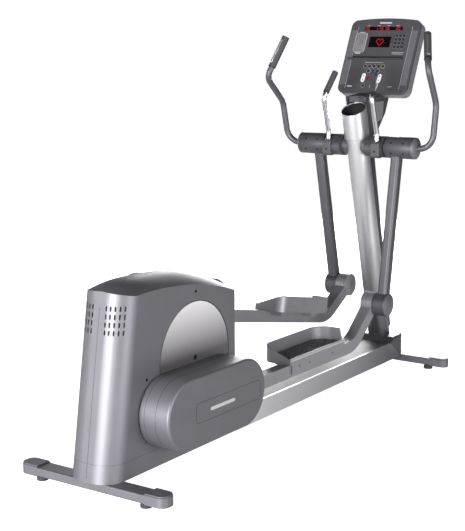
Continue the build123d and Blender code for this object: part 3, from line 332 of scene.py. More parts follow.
# satin alloy kerb along each pedal, polished by shoes: the brightest edge low down
kerbAlloy = finish("satinAlloyTrim", {
    "dark": "d0cfd3", "light": "e0dfe3", "patch": 25, "gloss": (0.34, 0.44), "grain": 1.0,
    "relief": 0.02, "shader": {"Metallic": 0.5},
})
# silver paint on the console's shell and side bands: even, hardly metallic
silverPaint = finish("silverPaintOnAbs", {
    "dark": "7c7b82", "light": "85848b", "patch": 50, "gloss": (0.4, 0.5), "grain": 1.1,
    "relief": 0.04, "shader": {"Metallic": 0.2, "IOR": 1.5},
})
# spun aluminium disc with a satin lacquer; its long smooth fade from light at the top to dark below is a
# painted reflection
spunDisc = finish("spunAluminiumPaintedReflection", {
    "dark": "b4b3b6", "light": "c0bfc2", "patch": 200, "gloss": (0.3, 0.36), "grain": 1.2,
    "relief": 0.01, "shader": {"Metallic": 0.3},
})
# painted reflection: light at the top of the disc, dark towards the bottom
paintedLightFade(spunDisc, "Z", (0.4, 0.62), ("615f63", "fffdff"))
# polished steel tube: long clean reflections, slightly uneven
polishedTube = finish("polishedSteelTube", {
    "dark": "cfced2", "light": "dddce0", "patch": 40, "gloss": (0.2, 0.26), "shader": {"Metallic": 1.0},
})
# charcoal textured ABS: matt, with the leather-like grain of a console
charcoalAbs = finish("texturedCharcoalAbs", {
    "dark": "48474c", "light": "504f55", "patch": 45, "gloss": (0.5, 0.6), "grain": 1.5,
    "relief": 0.1, "shader": {"Metallic": 0.25, "IOR": 1.53},
})
# near-black moulded ABS for ledges, recesses and seams
blackAbs = finish("blackMouldedAbs", {
    "dark": "17171a", "light": "1f1f22", "patch": 30, "gloss": (0.5, 0.62), "grain": 1.2,
    "relief": 0.06, "shader": {"IOR": 1.53},
})
# nitrile rubber: deep black-grey, dry, with a pebbled skin
padRubber = finish("pebbledNitrileRubber", {
    "dark": "37363b", "light": "49484e", "patch": 14, "gloss": (0.55, 0.7), "grain": 2.2,
    "relief": 0.25, "shader": {"IOR": 1.52, "Specular IOR Level": 0.35},
})
# moulded ABS shrouds round the arm bearings: dark grey, softly grained
shroudAbs = finish("mouldedShroudAbs", {
    "dark": "47464c", "light": "4f4e54", "patch": 40, "gloss": (0.44, 0.54), "grain": 1.2,
    "relief": 0.06, "shader": {"Metallic": 0.2, "IOR": 1.53},
})
# moulded tread rubber: lighter than the belt, scuffed by shoes
treadRubber = finish("scuffedTreadRubber", {
    "dark": "4c4b50", "light": "66656a", "patch": 18, "gloss": (0.5, 0.66), "grain": 2.4,
    "relief": 0.2, "shader": {"IOR": 1.52, "Specular IOR Level": 0.4},
})
# foamed vinyl grip: dark grey, soft sheen
gripVinyl = finish("foamedVinylGrip", {
    "dark": "3c3b40", "light": "46454b", "patch": 18, "gloss": (0.55, 0.68), "grain": 1.4,
    "relief": 0.14, "shader": {"IOR": 1.5, "Specular IOR Level": 0.4},
})
# stainless sensor plate: bright brushed strip
sensorSteel = brushed("brushedStainlessPlate", {
    "dark": "d6d5d9", "light": "e6e5e9", "patch": 15, "gloss": (0.26, 0.34), "shader": {"Metallic": 0.9},
    "stretch": (1, 1, 0.08), "line": 1.6, "lineDepth": 0.004,
})
# zinc-plated steel for pins, screws and inner parts: cool grey, a little uneven
zincSteel = finish("zincPlatedSteel", {
    "dark": "8d8e92", "light": "a5a6aa", "patch": 12, "gloss": (0.28, 0.42), "grain": 0.8,
    "relief": 0.03, "shader": {"Metallic": 1.0},
})
# blackened screw heads: dark oxide, slightly oily
oxideSteel = finish("blackOxideSteel", {
    "dark": "111114", "light": "1c1c20", "patch": 6, "gloss": (0.35, 0.5), "grain": 0.7,
    "relief": 0.02, "shader": {"Metallic": 0.7},
})
# cast iron, sand-grained, for the flywheel
castIron = finish("sandCastIron", {
    "dark": "2c2b2d", "light": "3a393b", "patch": 20, "gloss": (0.55, 0.7), "grain": 1.8,
    "relief": 0.25, "shader": {"Metallic": 0.6},
})
# enamelled copper winding
copperWinding = finish("enamelledCopper", {
    "dark": "7c3f22", "light": "a15a30", "patch": 4, "gloss": (0.3, 0.45), "grain": 1.0,
    "relief": 0.2, "shader": {"Metallic": 1.0},
})
# green solder mask over glass-fibre board
boardGreen = finish("solderMask", {
    "dark": "0e4423", "light": "155a30", "patch": 8, "gloss": (0.3, 0.42), "grain": 1.0,
    "relief": 0.04, "shader": {"IOR": 1.5},
})
# smoked acrylic over the lamps: black, glossy, faintly red
smokedAcrylic = finish("smokedAcrylic", {
    "dark": "0c0708", "light": "120b0c", "patch": 60, "gloss": (0.1, 0.16),
    "shader": {"IOR": 1.49, "Coat Weight": 0.3},
})
# silk-screened pale ink and the light keys: flat off-white
paleInk = finish("screenPrintedInk", {
    "dark": "b9b9bd", "light": "cacace", "patch": 9, "gloss": (0.5, 0.6), "shader": {"IOR": 1.5},
})
whiteKey = finish("whiteSiliconeKey", {
    "dark": "dcdcdf", "light": "ebebee", "patch": 9, "gloss": (0.42, 0.52), "grain": 1.0,
    "relief": 0.04, "shader": {"IOR": 1.45},
})
limeInk = finish("limeInk", {
    "dark": "a4ae5a", "light": "b9c26c", "patch": 9, "gloss": (0.5, 0.6), "shader": {"IOR": 1.5},
})
redKey = finish("redSiliconeKey", {
    "dark": "7e1616", "light": "9a1d1b", "patch": 9, "gloss": (0.4, 0.5), "grain": 1.0,
    "relief": 0.04, "shader": {"IOR": 1.45},
})
redLamp = glow("redLamp", "c41a18", 0.9)
amberLamp = glow("amberLamp", "b3903a", 0.3)
print("materials made")


# camera and light

cameraLook = {"place": (2.7911, -4.2052, 1.5896), "tilt": 0.1883, "roll": 0.0057, "turn": 0.6079,
              "lens": 86.96}
camera = bpy.data.objects.new("camera", bpy.data.cameras.new("camera"))
camera.data.lens = cameraLook["lens"]
camera.data.sensor_width = 36
camera.location = cameraLook["place"]
camera.rotation_euler = (math.pi / 2 - cameraLook["tilt"], cameraLook["roll"], cameraLook["turn"])
bpy.context.scene.collection.objects.link(camera)
bpy.context.scene.camera = camera
bpy.context.scene.view_settings.view_transform = "Standard"  # whites stay white

lamps = {
    "keyBox": {"place": (0.1, -5.3, 1.0), "aim": (0, -0.5, 0.65), "size": (2.4, 1.8), "power": 365},
    "sideBox": {"place": (5.0, -1.0, 0.95), "aim": (0, 0.1, 0.6), "size": (2.4, 1.8), "power": 140},
    "rimBox": {"place": (-4.2, 1.2, 1.2), "aim": (0, 0.4, 0.9), "size": (2.0, 2.0), "power": 8},
    "frontBox": {"place": (-2.6, 4.8, 1.5), "aim": (0, 0.4, 0.8), "size": (2.6, 2.2), "power": 230},
}
for lampName, lampLook in lamps.items():
    lamp = bpy.data.lights.new(lampName, "AREA")
    lamp.shape = "RECTANGLE"
    lamp.size, lamp.size_y = lampLook["size"]
    lamp.energy = lampLook["power"]
    holder = bpy.data.objects.new(lampName, lamp)
    holder.location = lampLook["place"]
    aim = Vector(lampLook["aim"]) - Vector(lampLook["place"])
    holder.rotation_euler = aim.to_track_quat("-Z", "Y").to_euler()
    bpy.context.scene.collection.objects.link(holder)

# A studio dome. The lens sees white; the machine sees a white wall behind it, a grey one ahead
# and a dark ceiling, so that faces turned up or forward stay darker.
domeLook = {"behind": "ffffff", "ahead": "5a5a5c", "ceiling": "212123"}
sky = bpy.data.worlds.new("studio")
bpy.context.scene.world = sky
sky.use_nodes = True
skyTree = sky.node_tree
skyPlace = addNode(skyTree, "ShaderNodeTexCoord")
skyWay = addNode(skyTree, "ShaderNodeSeparateXYZ", {}, {"Vector": skyPlace.outputs["Generated"]})
skyTurn = addNode(skyTree, "ShaderNodeMapRange", {"From Min": -0.6, "From Max": 0.6},
                  {"Value": skyWay.outputs["Y"]})
skyRise = addNode(skyTree, "ShaderNodeMapRange", {"From Min": 0.15, "From Max": 0.55},
                  {"Value": skyWay.outputs["Z"]})
lens = addNode(skyTree, "ShaderNodeLightPath")


wallTone = mixOf(skyTree, skyTurn.outputs["Result"], domeLook["behind"], domeLook["ahead"])
domeTone = mixOf(skyTree, skyRise.outputs["Result"], wallTone, domeLook["ceiling"])
seenTone = mixOf(skyTree, lens.outputs["Is Camera Ray"], domeTone, "ffffff")
skyTree.links.new(seenTone, skyTree.nodes["Background"].inputs["Color"])

floorMesh = slabMesh("studioFloor", [[(-60, -60), (60, -60), (60, 60), (-60, 60)]], -0.02, 0)
studioFloor = bpy.data.objects.new("studioFloor", floorMesh)
bpy.context.scene.collection.objects.link(studioFloor)
floorPaint = finish("paleFloorPaint", {
    "dark": "f6f6f6", "light": "fafafa", "patch": 900, "gloss": (0.75, 0.85),
    "shader": {"Specular IOR Level": 0.1, "Emission Color": linear("ffffff")},
})
floorTree = floorPaint.node_tree
floorLens = addNode(floorTree, "ShaderNodeLightPath")
floorGlow = addNode(floorTree, "ShaderNodeMapRange", {"To Min": 0.05, "To Max": 0.94},
                    {"Value": floorLens.outputs["Is Camera Ray"]})
floorShader = floorTree.nodes["Principled BSDF"]
floorTree.links.new(floorGlow.outputs["Result"], floorShader.inputs["Emission Strength"])
studioFloor.data.materials.append(floorPaint)
print("camera, lamps and floor placed")


# finishes of the CAD nodes

nodeFinishes = {
    "silver": (silverLacquer, (
        "right_housing_shell", "left_housing_shell", "right_link_cover", "left_link_cover",
        "stabilizer_end_caps", "right_arm_caps", "left_arm_caps", "rear_stabilizer", "front_stabilizer",
        "housing_top_cover")),
    "pale": (paintedLightLacquer, (
        "right_pedal_lever", "left_pedal_lever", "right_pedal_tray", "left_pedal_tray")),
    "grey": (greyLacquer, (
        "right_swing_arm", "left_swing_arm", "pivot_crossbar", "right_moving_handle",
        "left_moving_handle", "front_end_cap")),
    "bright": (brightCoat, ("column", "bottle_holder", "bracket_side_covers")),
    "alloy": (panelAlloy, ("base_side_panels",)),
    "shell": (silverPaint, ("console_back",)),
    "disc": (spunDisc, ("crank_discs",)),
    "polished": (polishedTube, ("fixed_handles",)),
    "charcoal": (charcoalAbs, (
        "handle_clamps", "console_front", "console_bracket", "base_top_cover", "column_front_cover")),
    "grips": (gripVinyl, ("fixed_grips", "right_moving_grip", "left_moving_grip")),
    "tread": (treadRubber, ("right_pedal_mat", "left_pedal_mat")),
    "rubber": (padRubber, (
        "drive_belt", "rear_right_levelling_foot",
        "rear_left_levelling_foot", "front_right_levelling_foot", "front_left_levelling_foot")),
    "zinc": (zincSteel, (
        "pivot_shaft", "right_joint_pin", "left_joint_pin", "crank_axle", "crank_arms", "axle_bearings",
        "drive_bracket", "drive_pulley", "base_frame")),
    "iron": (castIron, ("flywheel",)),
    "copper": (copperWinding, ("generator_stator",)),
    "board": (boardGreen, ("console_board",)),
    "acrylic": (smokedAcrylic, ("console_display",)),
    "blackKeys": (blackAbs, ("number_keys", "program_keys")),
    "oxide": (oxideSteel, ("cover_screws",)),
    "whiteKeys": (whiteKey, ("level_keys",)),
    "redKeys": (redKey, ("stop_key",)),
}
for material, nodeNames in nodeFinishes.values():
    for nodeName in nodeNames:
        data = frame["nodes"][nodeName].data
        data.materials.clear()
        data.materials.append(material)
print("CAD nodes finished")


# screws: a socket head with a hexagon recess, used all over the machine

def screwSet(name, places, radius, height, body, material=oxideSteel):
    # places are (point, outward direction); every head is in one mesh
    shape = bmesh.new()
    for point, outward in places:
        outward = Vector(outward).normalized()
        turn = outward.to_track_quat("Z", "Y").to_matrix().to_4x4()
        turn.translation = Vector(point)
        rings = [(radius, 0, 24), (radius, height * 0.7, 24), (radius * 0.86, height, 24),
                 (radius * 0.52, height, 24), (radius * 0.48, height * 0.25, 24)]
        made = []
        for ringRadius, ringHeight, steps in rings:
            made.append([
                shape.verts.new(turn @ Vector((
                    ringRadius * math.cos(2 * math.pi * step / steps),
                    ringRadius * math.sin(2 * math.pi * step / steps), ringHeight)))
                for step in range(steps)
            ])
        for first, second in zip(made, made[1:]):
            stitch(shape, first, second)
        shape.faces.new(made[-1])
        shape.faces.new(list(reversed(made[0])))
    return keep(name, closeMesh(name, shape), asBuilt, material, body)


# drive housing: seams, vent screen and the seals round the discs

housing = {"halfWidth": 104 * mm, "nose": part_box("right_housing_shell")[0][1], "bottom": 48 * mm,
           "lean": math.radians(9.1), "corner": 80 * mm, "front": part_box("right_housing_shell")[1][1],
           "proud": 0.35 * mm, "seamHeight": 112 * mm, "seamWidth": 1.6 * mm}


def nosePlace(height):
    return housing["nose"] + (height - housing["bottom"]) * math.tan(housing["lean"])


def housingOutline(height, proud):
    # (x, y) round the housing at one height, from the right front corner round the nose to the left
    half, corner = housing["halfWidth"] + proud, housing["corner"] + proud
    noseY = nosePlace(height) - proud
    points = [(half, housing["front"])]
    points += arcPoints((half - corner, noseY + corner), corner, 0, -90, 14)
    points += arcPoints((corner - half, noseY + corner), corner, 270, 180, 14)
    points.append((-half, housing["front"]))
    return points


def seamRibbon(name, height, width, material, body):
    # a thin band that follows the housing's outline at one height
    shape = bmesh.new()
    rings = []
    for up, proud in ((0, -0.2 * mm), (0, housing["proud"]), (width, housing["proud"]), (width, -0.2 * mm)):
        rings.append([shape.verts.new((x, y, height + up)) for x, y in housingOutline(height + up, proud)])
    for first, second in zip(rings, rings[1:]):
        stitch(shape, first, second, closed=False)
    return keep(name, closeMesh(name, shape), asBuilt, material, body)


seamRibbon("housing_lower_seam", housing["seamHeight"], housing["seamWidth"], greyLacquer, "base")

noseSeam = {"low": 60 * mm, "high": 640 * mm, "width": 1.1 * mm}
leanUp = Vector((0, math.sin(housing["lean"]), math.cos(housing["lean"])))
seamStart = Vector((0, nosePlace(noseSeam["low"]), noseSeam["low"]))
seamLength = (noseSeam["high"] - noseSeam["low"]) / math.cos(housing["lean"])
keep("housing_nose_seam", slabMesh("housing_nose_seam", [[
    (-noseSeam["width"] / 2, 0), (noseSeam["width"] / 2, 0),
    (noseSeam["width"] / 2, seamLength), (-noseSeam["width"] / 2, seamLength)]], -0.3 * mm, housing["proud"]),
    axesAt(seamStart, (1, 0, 0), leanUp), blackAbs, "base")

ventScreen = {"low": 540 * mm, "high": 655 * mm, "inset": 9 * mm, "thick": 1.2 * mm}
screenShape = bmesh.new()
screenRings = []
for up in (ventScreen["low"], ventScreen["high"]):
    line = housingOutline(up, -ventScreen["inset"])[1:-1]
    screenRings.append([screenShape.verts.new((x, y, up)) for x, y in line])
stitch(screenShape, *screenRings, closed=False)
screenMesh = closeMesh("vent_screen", screenShape, outward=False)
screen = keep("vent_screen", screenMesh, asBuilt, blackAbs, "base")
screen.modifiers.new("thickness", "SOLIDIFY").thickness = ventScreen["thick"]

crank = joints["crank_turn"]
seal = {"inner": 199 * mm, "outer": 213 * mm, "thick": 5 * mm, "across": 92 * mm, "eyeletAcross": 103 * mm}
for sideName, side in sides:
    sealPlace = axesAt((side * seal["across"], crank.y, crank.z), (0, side, 0), (0, 0, 1))
    sealProfile = [(seal["inner"], 0), (seal["outer"], 0), (seal["outer"], seal["thick"]),
                   (seal["inner"], seal["thick"]), (seal["inner"], 0)]
    turned(f"{sideName}_disc_seal", [sealProfile], sealPlace, blackAbs, "base", 96)
    hubProfile = [(9 * mm, 0), (9 * mm, 0.4 * mm), (8 * mm, 0.7 * mm), (2 * mm, 0.5 * mm), (0, 0.4 * mm)]
    hubPlace = axesAt((side * seal["eyeletAcross"], crank.y, crank.z), (0, side, 0), (0, 0, 1))
    turned(f"{sideName}_disc_eyelet", [hubProfile], hubPlace, oxideSteel, "crank")
print("drive housing detailed")


# swing arms: rings, bearing shrouds, screws and clamp jaws

armLook = {"sleeveRadius": 47 * mm, "sleeveInner": 154 * mm, "sleeveOuter": 282 * mm,
           "bossRadius": 51 * mm, "bossInner": 167 * mm, "bossOuter": 222 * mm, "groove": 1.4 * mm,
           "shroud": (155 * mm, 281 * mm), "shroudProud": 0.3 * mm, "leverInner": 114 * mm,
           "leverPitch": 17 * mm, "screwsAcross": (186, 244), "screwTurns": (-118, -62)}
pivot = joints["right_arm_swing"]


def ringProfile(radius, start, width, proud=0.35 * mm):
    return [(radius - 0.3 * mm, start), (radius + proud, start + 0.2 * mm),
            (radius + proud, start + width - 0.2 * mm), (radius - 0.3 * mm, start + width)]


for sideName, side in sides:
    lower = joints[f"{sideName}_lever_pivot"]
    sleeveAxes = axesAt((0, pivot.y, pivot.z), (0, side, 0), (0, 0, 1))
    rings = [ringProfile(armLook["sleeveRadius"], place, armLook["groove"])
             for place in (armLook["sleeveInner"] + 9 * mm, armLook["sleeveOuter"] - 10 * mm)]
    turned(f"{sideName}_sleeve_rings", rings, sleeveAxes, blackAbs, f"{sideName}_arm", 64)
    inside = armLook["sleeveRadius"] - 0.2 * mm
    outside = armLook["sleeveRadius"] + armLook["shroudProud"]
    near, far = armLook["shroud"]
    jacket = [(inside, near), (outside, near + 1 * mm), (outside, far - 1 * mm), (inside, far)]
    turned(f"{sideName}_sleeve_shroud", [jacket], sleeveAxes, shroudAbs, f"{sideName}_arm", 72)
    bossAxes = axesAt((0, lower.y, lower.z), (0, side, 0), (0, 0, 1))
    bossRings = [ringProfile(armLook["bossRadius"], place, armLook["groove"])
                 for place in (armLook["bossInner"] + 7 * mm, armLook["bossOuter"] - 7 * mm)]
    turned(f"{sideName}_boss_rings", bossRings, bossAxes, blackAbs, f"{sideName}_arm", 64)
    leverRings = [ringProfile(armLook["bossRadius"], armLook["leverInner"] + step * armLook["leverPitch"],
                              armLook["groove"]) for step in (0.5, 1.5, 2.5)]
    turned(f"{sideName}_lever_rings", leverRings, bossAxes, greyLacquer, f"{sideName}_lever", 64)
    screwPlaces = []
    for across in armLook["screwsAcross"]:
        for turn in armLook["screwTurns"]:
            outward = Vector((0, math.sin(math.radians(turn)), math.cos(math.radians(turn))))
            point = Vector((side * across * mm, pivot.y, pivot.z)) + outward * armLook["sleeveRadius"]
            screwPlaces.append((point, outward))
    screwSet(f"{sideName}_sleeve_screws", screwPlaces, 4 * mm, 1.5 * mm, f"{sideName}_arm")
# the clamps' screws stand at a place along the cross tube and an angle round it
clamp = {"radius": 46.5 * mm, "screws": ((74, -96), (134, -128), (74, -40))}
clampScrews = []
for sideName, side in sides:
    for across, turn in clamp["screws"]:
        outward = Vector((0, math.sin(math.radians(turn)), math.cos(math.radians(turn))))
        point = Vector((side * across * mm, pivot.y, pivot.z)) + outward * clamp["radius"]
        clampScrews.append((point, outward))
screwSet("clamp_screws", clampScrews, 4 * mm, 2 * mm, "base")
jaw = {"across": (99, 143), "middle": (-51, -9), "size": (42, 73), "corner": 14, "edge": 5 * mm,
       "screw": (121 * mm, -71.8 * mm, -16 * mm)}
jawAxes = axesAt((0, pivot.y, pivot.z), (0, 1, 0), (0, 0, 1))
jawOutline = [(u * mm, v * mm) for u, v in roundedBox(jaw["middle"], *jaw["size"], jaw["corner"], 8)]
for sideName, side in sides:
    near, far = sorted(side * place * mm for place in jaw["across"])
    keep(f"{sideName}_clamp_jaw", slabMesh("clampJaw", [jawOutline], near, far), jawAxes, charcoalAbs, "base",
         bevel=jaw["edge"])
    across, forward, up = jaw["screw"]
    jawScrew = Vector((side * across, pivot.y + forward, pivot.z + up))
    screwSet(f"{sideName}_jaw_screw", [(jawScrew, Vector((0, -1, 0)))], 4.5 * mm, 1.2 * mm, "base")
print("arms detailed")


# levers: link covers, pedals and their treads

lever = {"crankRadius": 190 * mm, "rest": {"right": 225, "left": 45}, "droop": 5}


def leverAxes(sideName):
    # along the lever, up from it, and out along +X, from the crank pin
    turn = math.radians(lever["rest"][sideName])
    pinY = crank.y + lever["crankRadius"] * math.cos(turn)
    pinZ = crank.z + lever["crankRadius"] * math.sin(turn)
    lower = joints[f"{sideName}_lever_pivot"]
    tilt = math.atan2(lower.z - pinZ, lower.y - pinY) - math.radians(lever["droop"])
    return axesAt((0, pinY, pinZ), (0, math.cos(tilt), math.sin(tilt)), (0, -math.sin(tilt), math.cos(tilt)))


cover = {"rear": (-70 * mm, -10 * mm), "front": (268 * mm, -10 * mm), "radius": 128 * mm, "outer": 235 * mm,
         "seams": (128 * mm, 176 * mm), "seamWidth": 1.2 * mm, "badgeCentre": (160 * mm, -14 * mm),
         "badgeSize": (400 * mm, 74 * mm), "badgeCorner": 14 * mm, "line": 1.3 * mm,
         "plaque": (150 * mm, 13 * mm), "plaqueCentre": (120 * mm, -14 * mm)}
for sideName, side in sides:
    place = leverAxes(sideName)
    body = f"{sideName}_lever"
    for number, seam in enumerate(cover["seams"]):
        inner = pill(cover["rear"], cover["front"], cover["radius"] - 0.3 * mm)
        outer = pill(cover["rear"], cover["front"], cover["radius"] + 0.3 * mm)
        keep(f"{sideName}_cover_seam_{number}",
             bandMesh("coverSeam", inner, outer, side * seam, side * (seam + cover["seamWidth"])),
             place, blackAbs, body)
    face = side * cover["outer"]
    badge = roundedBox(cover["badgeCentre"], *cover["badgeSize"], cover["badgeCorner"])
    badgeInner = roundedBox(cover["badgeCentre"], cover["badgeSize"][0] - 2 * cover["line"],
                            cover["badgeSize"][1] - 2 * cover["line"], cover["badgeCorner"] - cover["line"])
    keep(f"{sideName}_badge_line", bandMesh("badgeLine", badgeInner, badge, face - side * 0.2 * mm,
                                            face + side * 0.35 * mm), place, blackAbs, body)
    plaque = moved(roundedBox((0, 0), *cover["plaque"], 6 * mm), 0, cover["plaqueCentre"])
    keep(f"{sideName}_blank_plaque", slabMesh("blankPlaque", [plaque], face - side * 0.2 * mm,
                                              face + side * 1.6 * mm), place, paleInk, body, bevel=0.6 * mm)
print("link covers detailed")

pedal = {"inner": 36 * mm, "outer": 169 * mm, "start": 674 * mm, "end": 1104 * mm, "rearCorner": 48 * mm,
         "frontCorner": 75 * mm, "rim": 60 * mm, "kerb": 12 * mm, "wall": 3 * mm, "matTop": 9 * mm,
         "studPitch": 22 * mm, "studRadius": 7.5 * mm, "studHeight": 2.2 * mm, "studMargin": 13 * mm,
         "bead": 2.6 * mm, "lip": 7 * mm, "bolts": (744, 820, 1000)}


def rimHeight(across):
    # the rear wall falls away from the inner side to the kerb on the lever's side
    share = max(0, (across - pedal["inner"] - 12 * mm) / (pedal["outer"] - pedal["inner"] - 11 * mm))
    return pedal["rim"] - share * (pedal["rim"] - pedal["kerb"])


def trayRim():
    # (along, up, across) round the top edge of the tray
    wall = pedal["wall"] / 2
    inner, outer = pedal["inner"] + wall, pedal["outer"] - wall
    start, end = pedal["start"] + wall, pedal["end"] - wall
    line = [(start, rimHeight(across), across) for across in (outer, 130 * mm, 100 * mm)]
    radius = pedal["rearCorner"] - wall
    for along, across in arcPoints((start + radius, inner + radius), radius, 180, 270, 10):
        line.append((along, rimHeight(across), across))
    radius = pedal["frontCorner"] - wall
    for along, across in arcPoints((end - radius, inner + radius), radius, 270, 360, 12):
        line.append((along, pedal["rim"], across))
    line.append((end, pedal["rim"], pedal["outer"] - 24 * mm))
    line.append((end, pedal["kerb"] + 2 * mm, pedal["outer"] - 13 * mm))
    line.append((end, pedal["kerb"], outer))
    return line


def onMat(along, across, margin):
    # true where a stud fits on the mat, clear of its rounded corners
    inner, outer = pedal["inner"] + margin, pedal["outer"] - margin
    start, end = pedal["start"] + margin, pedal["end"] - margin
    if not (start < along < end and inner < across < outer):
        return False
    for corner, radius in (((start, 1), pedal["rearCorner"]), ((end, -1), pedal["frontCorner"])):
        edge, way = corner
        radius -= margin
        toEdge = (along - edge) * way
        if toEdge < radius and across - inner < radius:
            if math.hypot(radius - toEdge, radius - (across - inner)) > radius:
                return False
    return True


for sideName, side in sides:
    place = leverAxes(sideName)
    body = f"{sideName}_lever"
    line = [place @ Vector((along, up, side * across)) for along, up, across in trayRim()]
    tubePiece(f"{sideName}_tray_rim", line, pedal["bead"], paintedLightLacquer, body, closed=True)

    lipLine = [place @ Vector((along, pedal["kerb"] + 1 * mm, side * (pedal["outer"] - 3 * mm)))
               for along in (pedal["start"] + 6 * mm, pedal["end"] - 6 * mm)]
    tubePiece(f"{sideName}_tray_lip", lipLine, pedal["lip"], kerbAlloy, body)

    studs = []
    rows = int((pedal["end"] - pedal["start"]) / pedal["studPitch"]) + 1
    columns = int((pedal["outer"] - pedal["inner"]) / pedal["studPitch"]) + 1
    for row in range(rows):
        for column in range(columns):
            along = pedal["start"] + (row + 0.5) * pedal["studPitch"]
            across = pedal["inner"] + (column + (0.75 if row % 2 else 0.25)) * pedal["studPitch"]
            if onMat(along, across, pedal["studMargin"]):
                studs.append((along, side * across))
    top = pedal["matTop"]
    stud = [(pedal["studRadius"], -0.2 * mm), (pedal["studRadius"] * 0.8, pedal["studHeight"] * 0.7),
            (pedal["studRadius"] * 0.45, pedal["studHeight"]), (0, pedal["studHeight"])]
    # the mat's own axes: along, across, up
    matAxes = Matrix.Translation(place.translation) @ Matrix((
        place.to_3x3().col[0], place.to_3x3().col[2], place.to_3x3().col[1])).transposed().to_4x4()
    studMesh = latheMesh("treadStuds", [[(radius, height + top) for radius, height in stud]], studs, steps=8)
    keep(f"{sideName}_tread_studs", studMesh, matAxes, treadRubber, body)
    bolts = []
    for along in pedal["bolts"]:
        point = place @ Vector((along * mm, -20 * mm, side * pedal["outer"]))
        bolts.append((point, (side, 0, 0)))
    screwSet(f"{sideName}_tray_bolts", bolts, 4.5 * mm, 3 * mm, body, zincSteel)
print("levers and pedals detailed")


# handles: sensor plates, collars, ferrules and socket rings

handleLook = {"bend": (362, -112, 330), "tip": (299, -22, 486), "gripShare": 0.27, "gripRadius": 16.5 * mm,
              "plateSpan": (0.1, 0.93), "plateHalf": 34, "plateProud": 0.9 * mm, "collar": 7 * mm}
fixedLook = {"bend": (120, -97, 212), "tip": (95, -42, 318), "gripStart": 26 * mm, "gripRadius": 13.5 * mm,
             "socket": (121, -50, 27), "socketRadius": 11 * mm}


def fromPivot(point, side, swing):
    # (across, forward, up) in mm from the pivot, turned with the arm
    across, forward, up = (value * mm for value in point)
    return Vector((side * across, pivot.y + forward * math.cos(swing) - up * math.sin(swing),
                   pivot.z + forward * math.sin(swing) + up * math.cos(swing)))


def plateMesh(start, end, facing, radius, half, proud, steps=10):
    # a curved strip that wraps part of a tube, thick enough to show its edges
    axis = (end - start).normalized()
    middle = (facing - axis * facing.dot(axis)).normalized()
    beside = axis.cross(middle)
    shape = bmesh.new()
    rows = []
    for point, trim in ((start, 0.75), (start + axis * 5 * mm, 1), (end - axis * 5 * mm, 1), (end, 0.75)):
        row = []
        for step in range(steps + 1):
            turn = math.radians(half * trim * (2 * step / steps - 1))
            outward = middle * math.cos(turn) + beside * math.sin(turn)
            lift = 0 if step in (0, steps) else proud
            row.append(shape.verts.new(point + outward * (radius - 0.3 * mm + lift)))
        rows.append(row)
    for first, second in zip(rows, rows[1:]):
        stitch(shape, first, second, closed=False)
    return closeMesh("sensorPlate", shape, outward=False)


def collarAt(name, point, axis, radius, height, proud, material, body):
    turn = axis.to_track_quat("Z", "Y").to_matrix().to_4x4()
    turn.translation = point
    profile = [(radius - 0.4 * mm, 0), (radius + proud * 0.6, 0), (radius + proud, height * 0.3),
               (radius + proud, height * 0.7), (radius + proud * 0.6, height), (radius - 0.4 * mm, height)]
    return turned(name, [profile], turn, material, body)


for sideName, side in sides:
    lower = joints[f"{sideName}_lever_pivot"]
    swing = math.atan2(lower.y - pivot.y, pivot.z - lower.z)
    bend = fromPivot(handleLook["bend"], side, swing)
    tip = fromPivot(handleLook["tip"], side, swing)
    start = bend.lerp(tip, handleLook["gripShare"])
    axis = (tip - bend).normalized()
    plateStart, plateEnd = (start.lerp(tip, share) for share in handleLook["plateSpan"])
    facing = Vector((side * 0.55, -0.83, 0.1))
    plate = keep(f"{sideName}_sensor_plate", plateMesh(plateStart, plateEnd, facing, handleLook["gripRadius"],
                 handleLook["plateHalf"], handleLook["plateProud"]), asBuilt, sensorSteel,
                 f"{sideName}_arm")
    plate.modifiers.new("thickness", "SOLIDIFY").thickness = 0.4 * mm
    collarAt(f"{sideName}_grip_collar", start - axis * 3 * mm, axis, handleLook["gripRadius"] - 0.6 * mm,
             handleLook["collar"], 1.1 * mm, blackAbs, f"{sideName}_arm")
    collarAt(f"{sideName}_handle_ferrule", fromPivot((300, 0, 0), side, swing), Vector((side, 0, 0)),
             13.5 * mm, 5 * mm, 2.2 * mm, greyLacquer, f"{sideName}_arm")

    bend = fromPivot(fixedLook["bend"], side, 0)
    tip = fromPivot(fixedLook["tip"], side, 0)
    axis = (tip - bend).normalized()
    start = bend + axis * fixedLook["gripStart"]
    collarAt(f"{sideName}_fixed_collar", start - axis * 2 * mm, axis, fixedLook["gripRadius"] - 0.5 * mm,
             6 * mm, 0.9 * mm, blackAbs, "base")
    plate = keep(f"{sideName}_pulse_plate", plateMesh(start.lerp(tip, 0.12), start.lerp(tip, 0.86),
                 Vector((side * 0.85, 0.5, 0.1)), fixedLook["gripRadius"], 40, 0.8 * mm),
                 asBuilt, sensorSteel, "base")
    plate.modifiers.new("thickness", "SOLIDIFY").thickness = 0.4 * mm
    collarAt(f"{sideName}_socket_ring", fromPivot(fixedLook["socket"], side, 0) - Vector((0, 0, 1 * mm)),
             Vector((0, 0, 1)), fixedLook["socketRadius"] + 4 * mm, 3 * mm, 2 * mm, greyLacquer, "base")
print("handles detailed")


# column and bottle holder

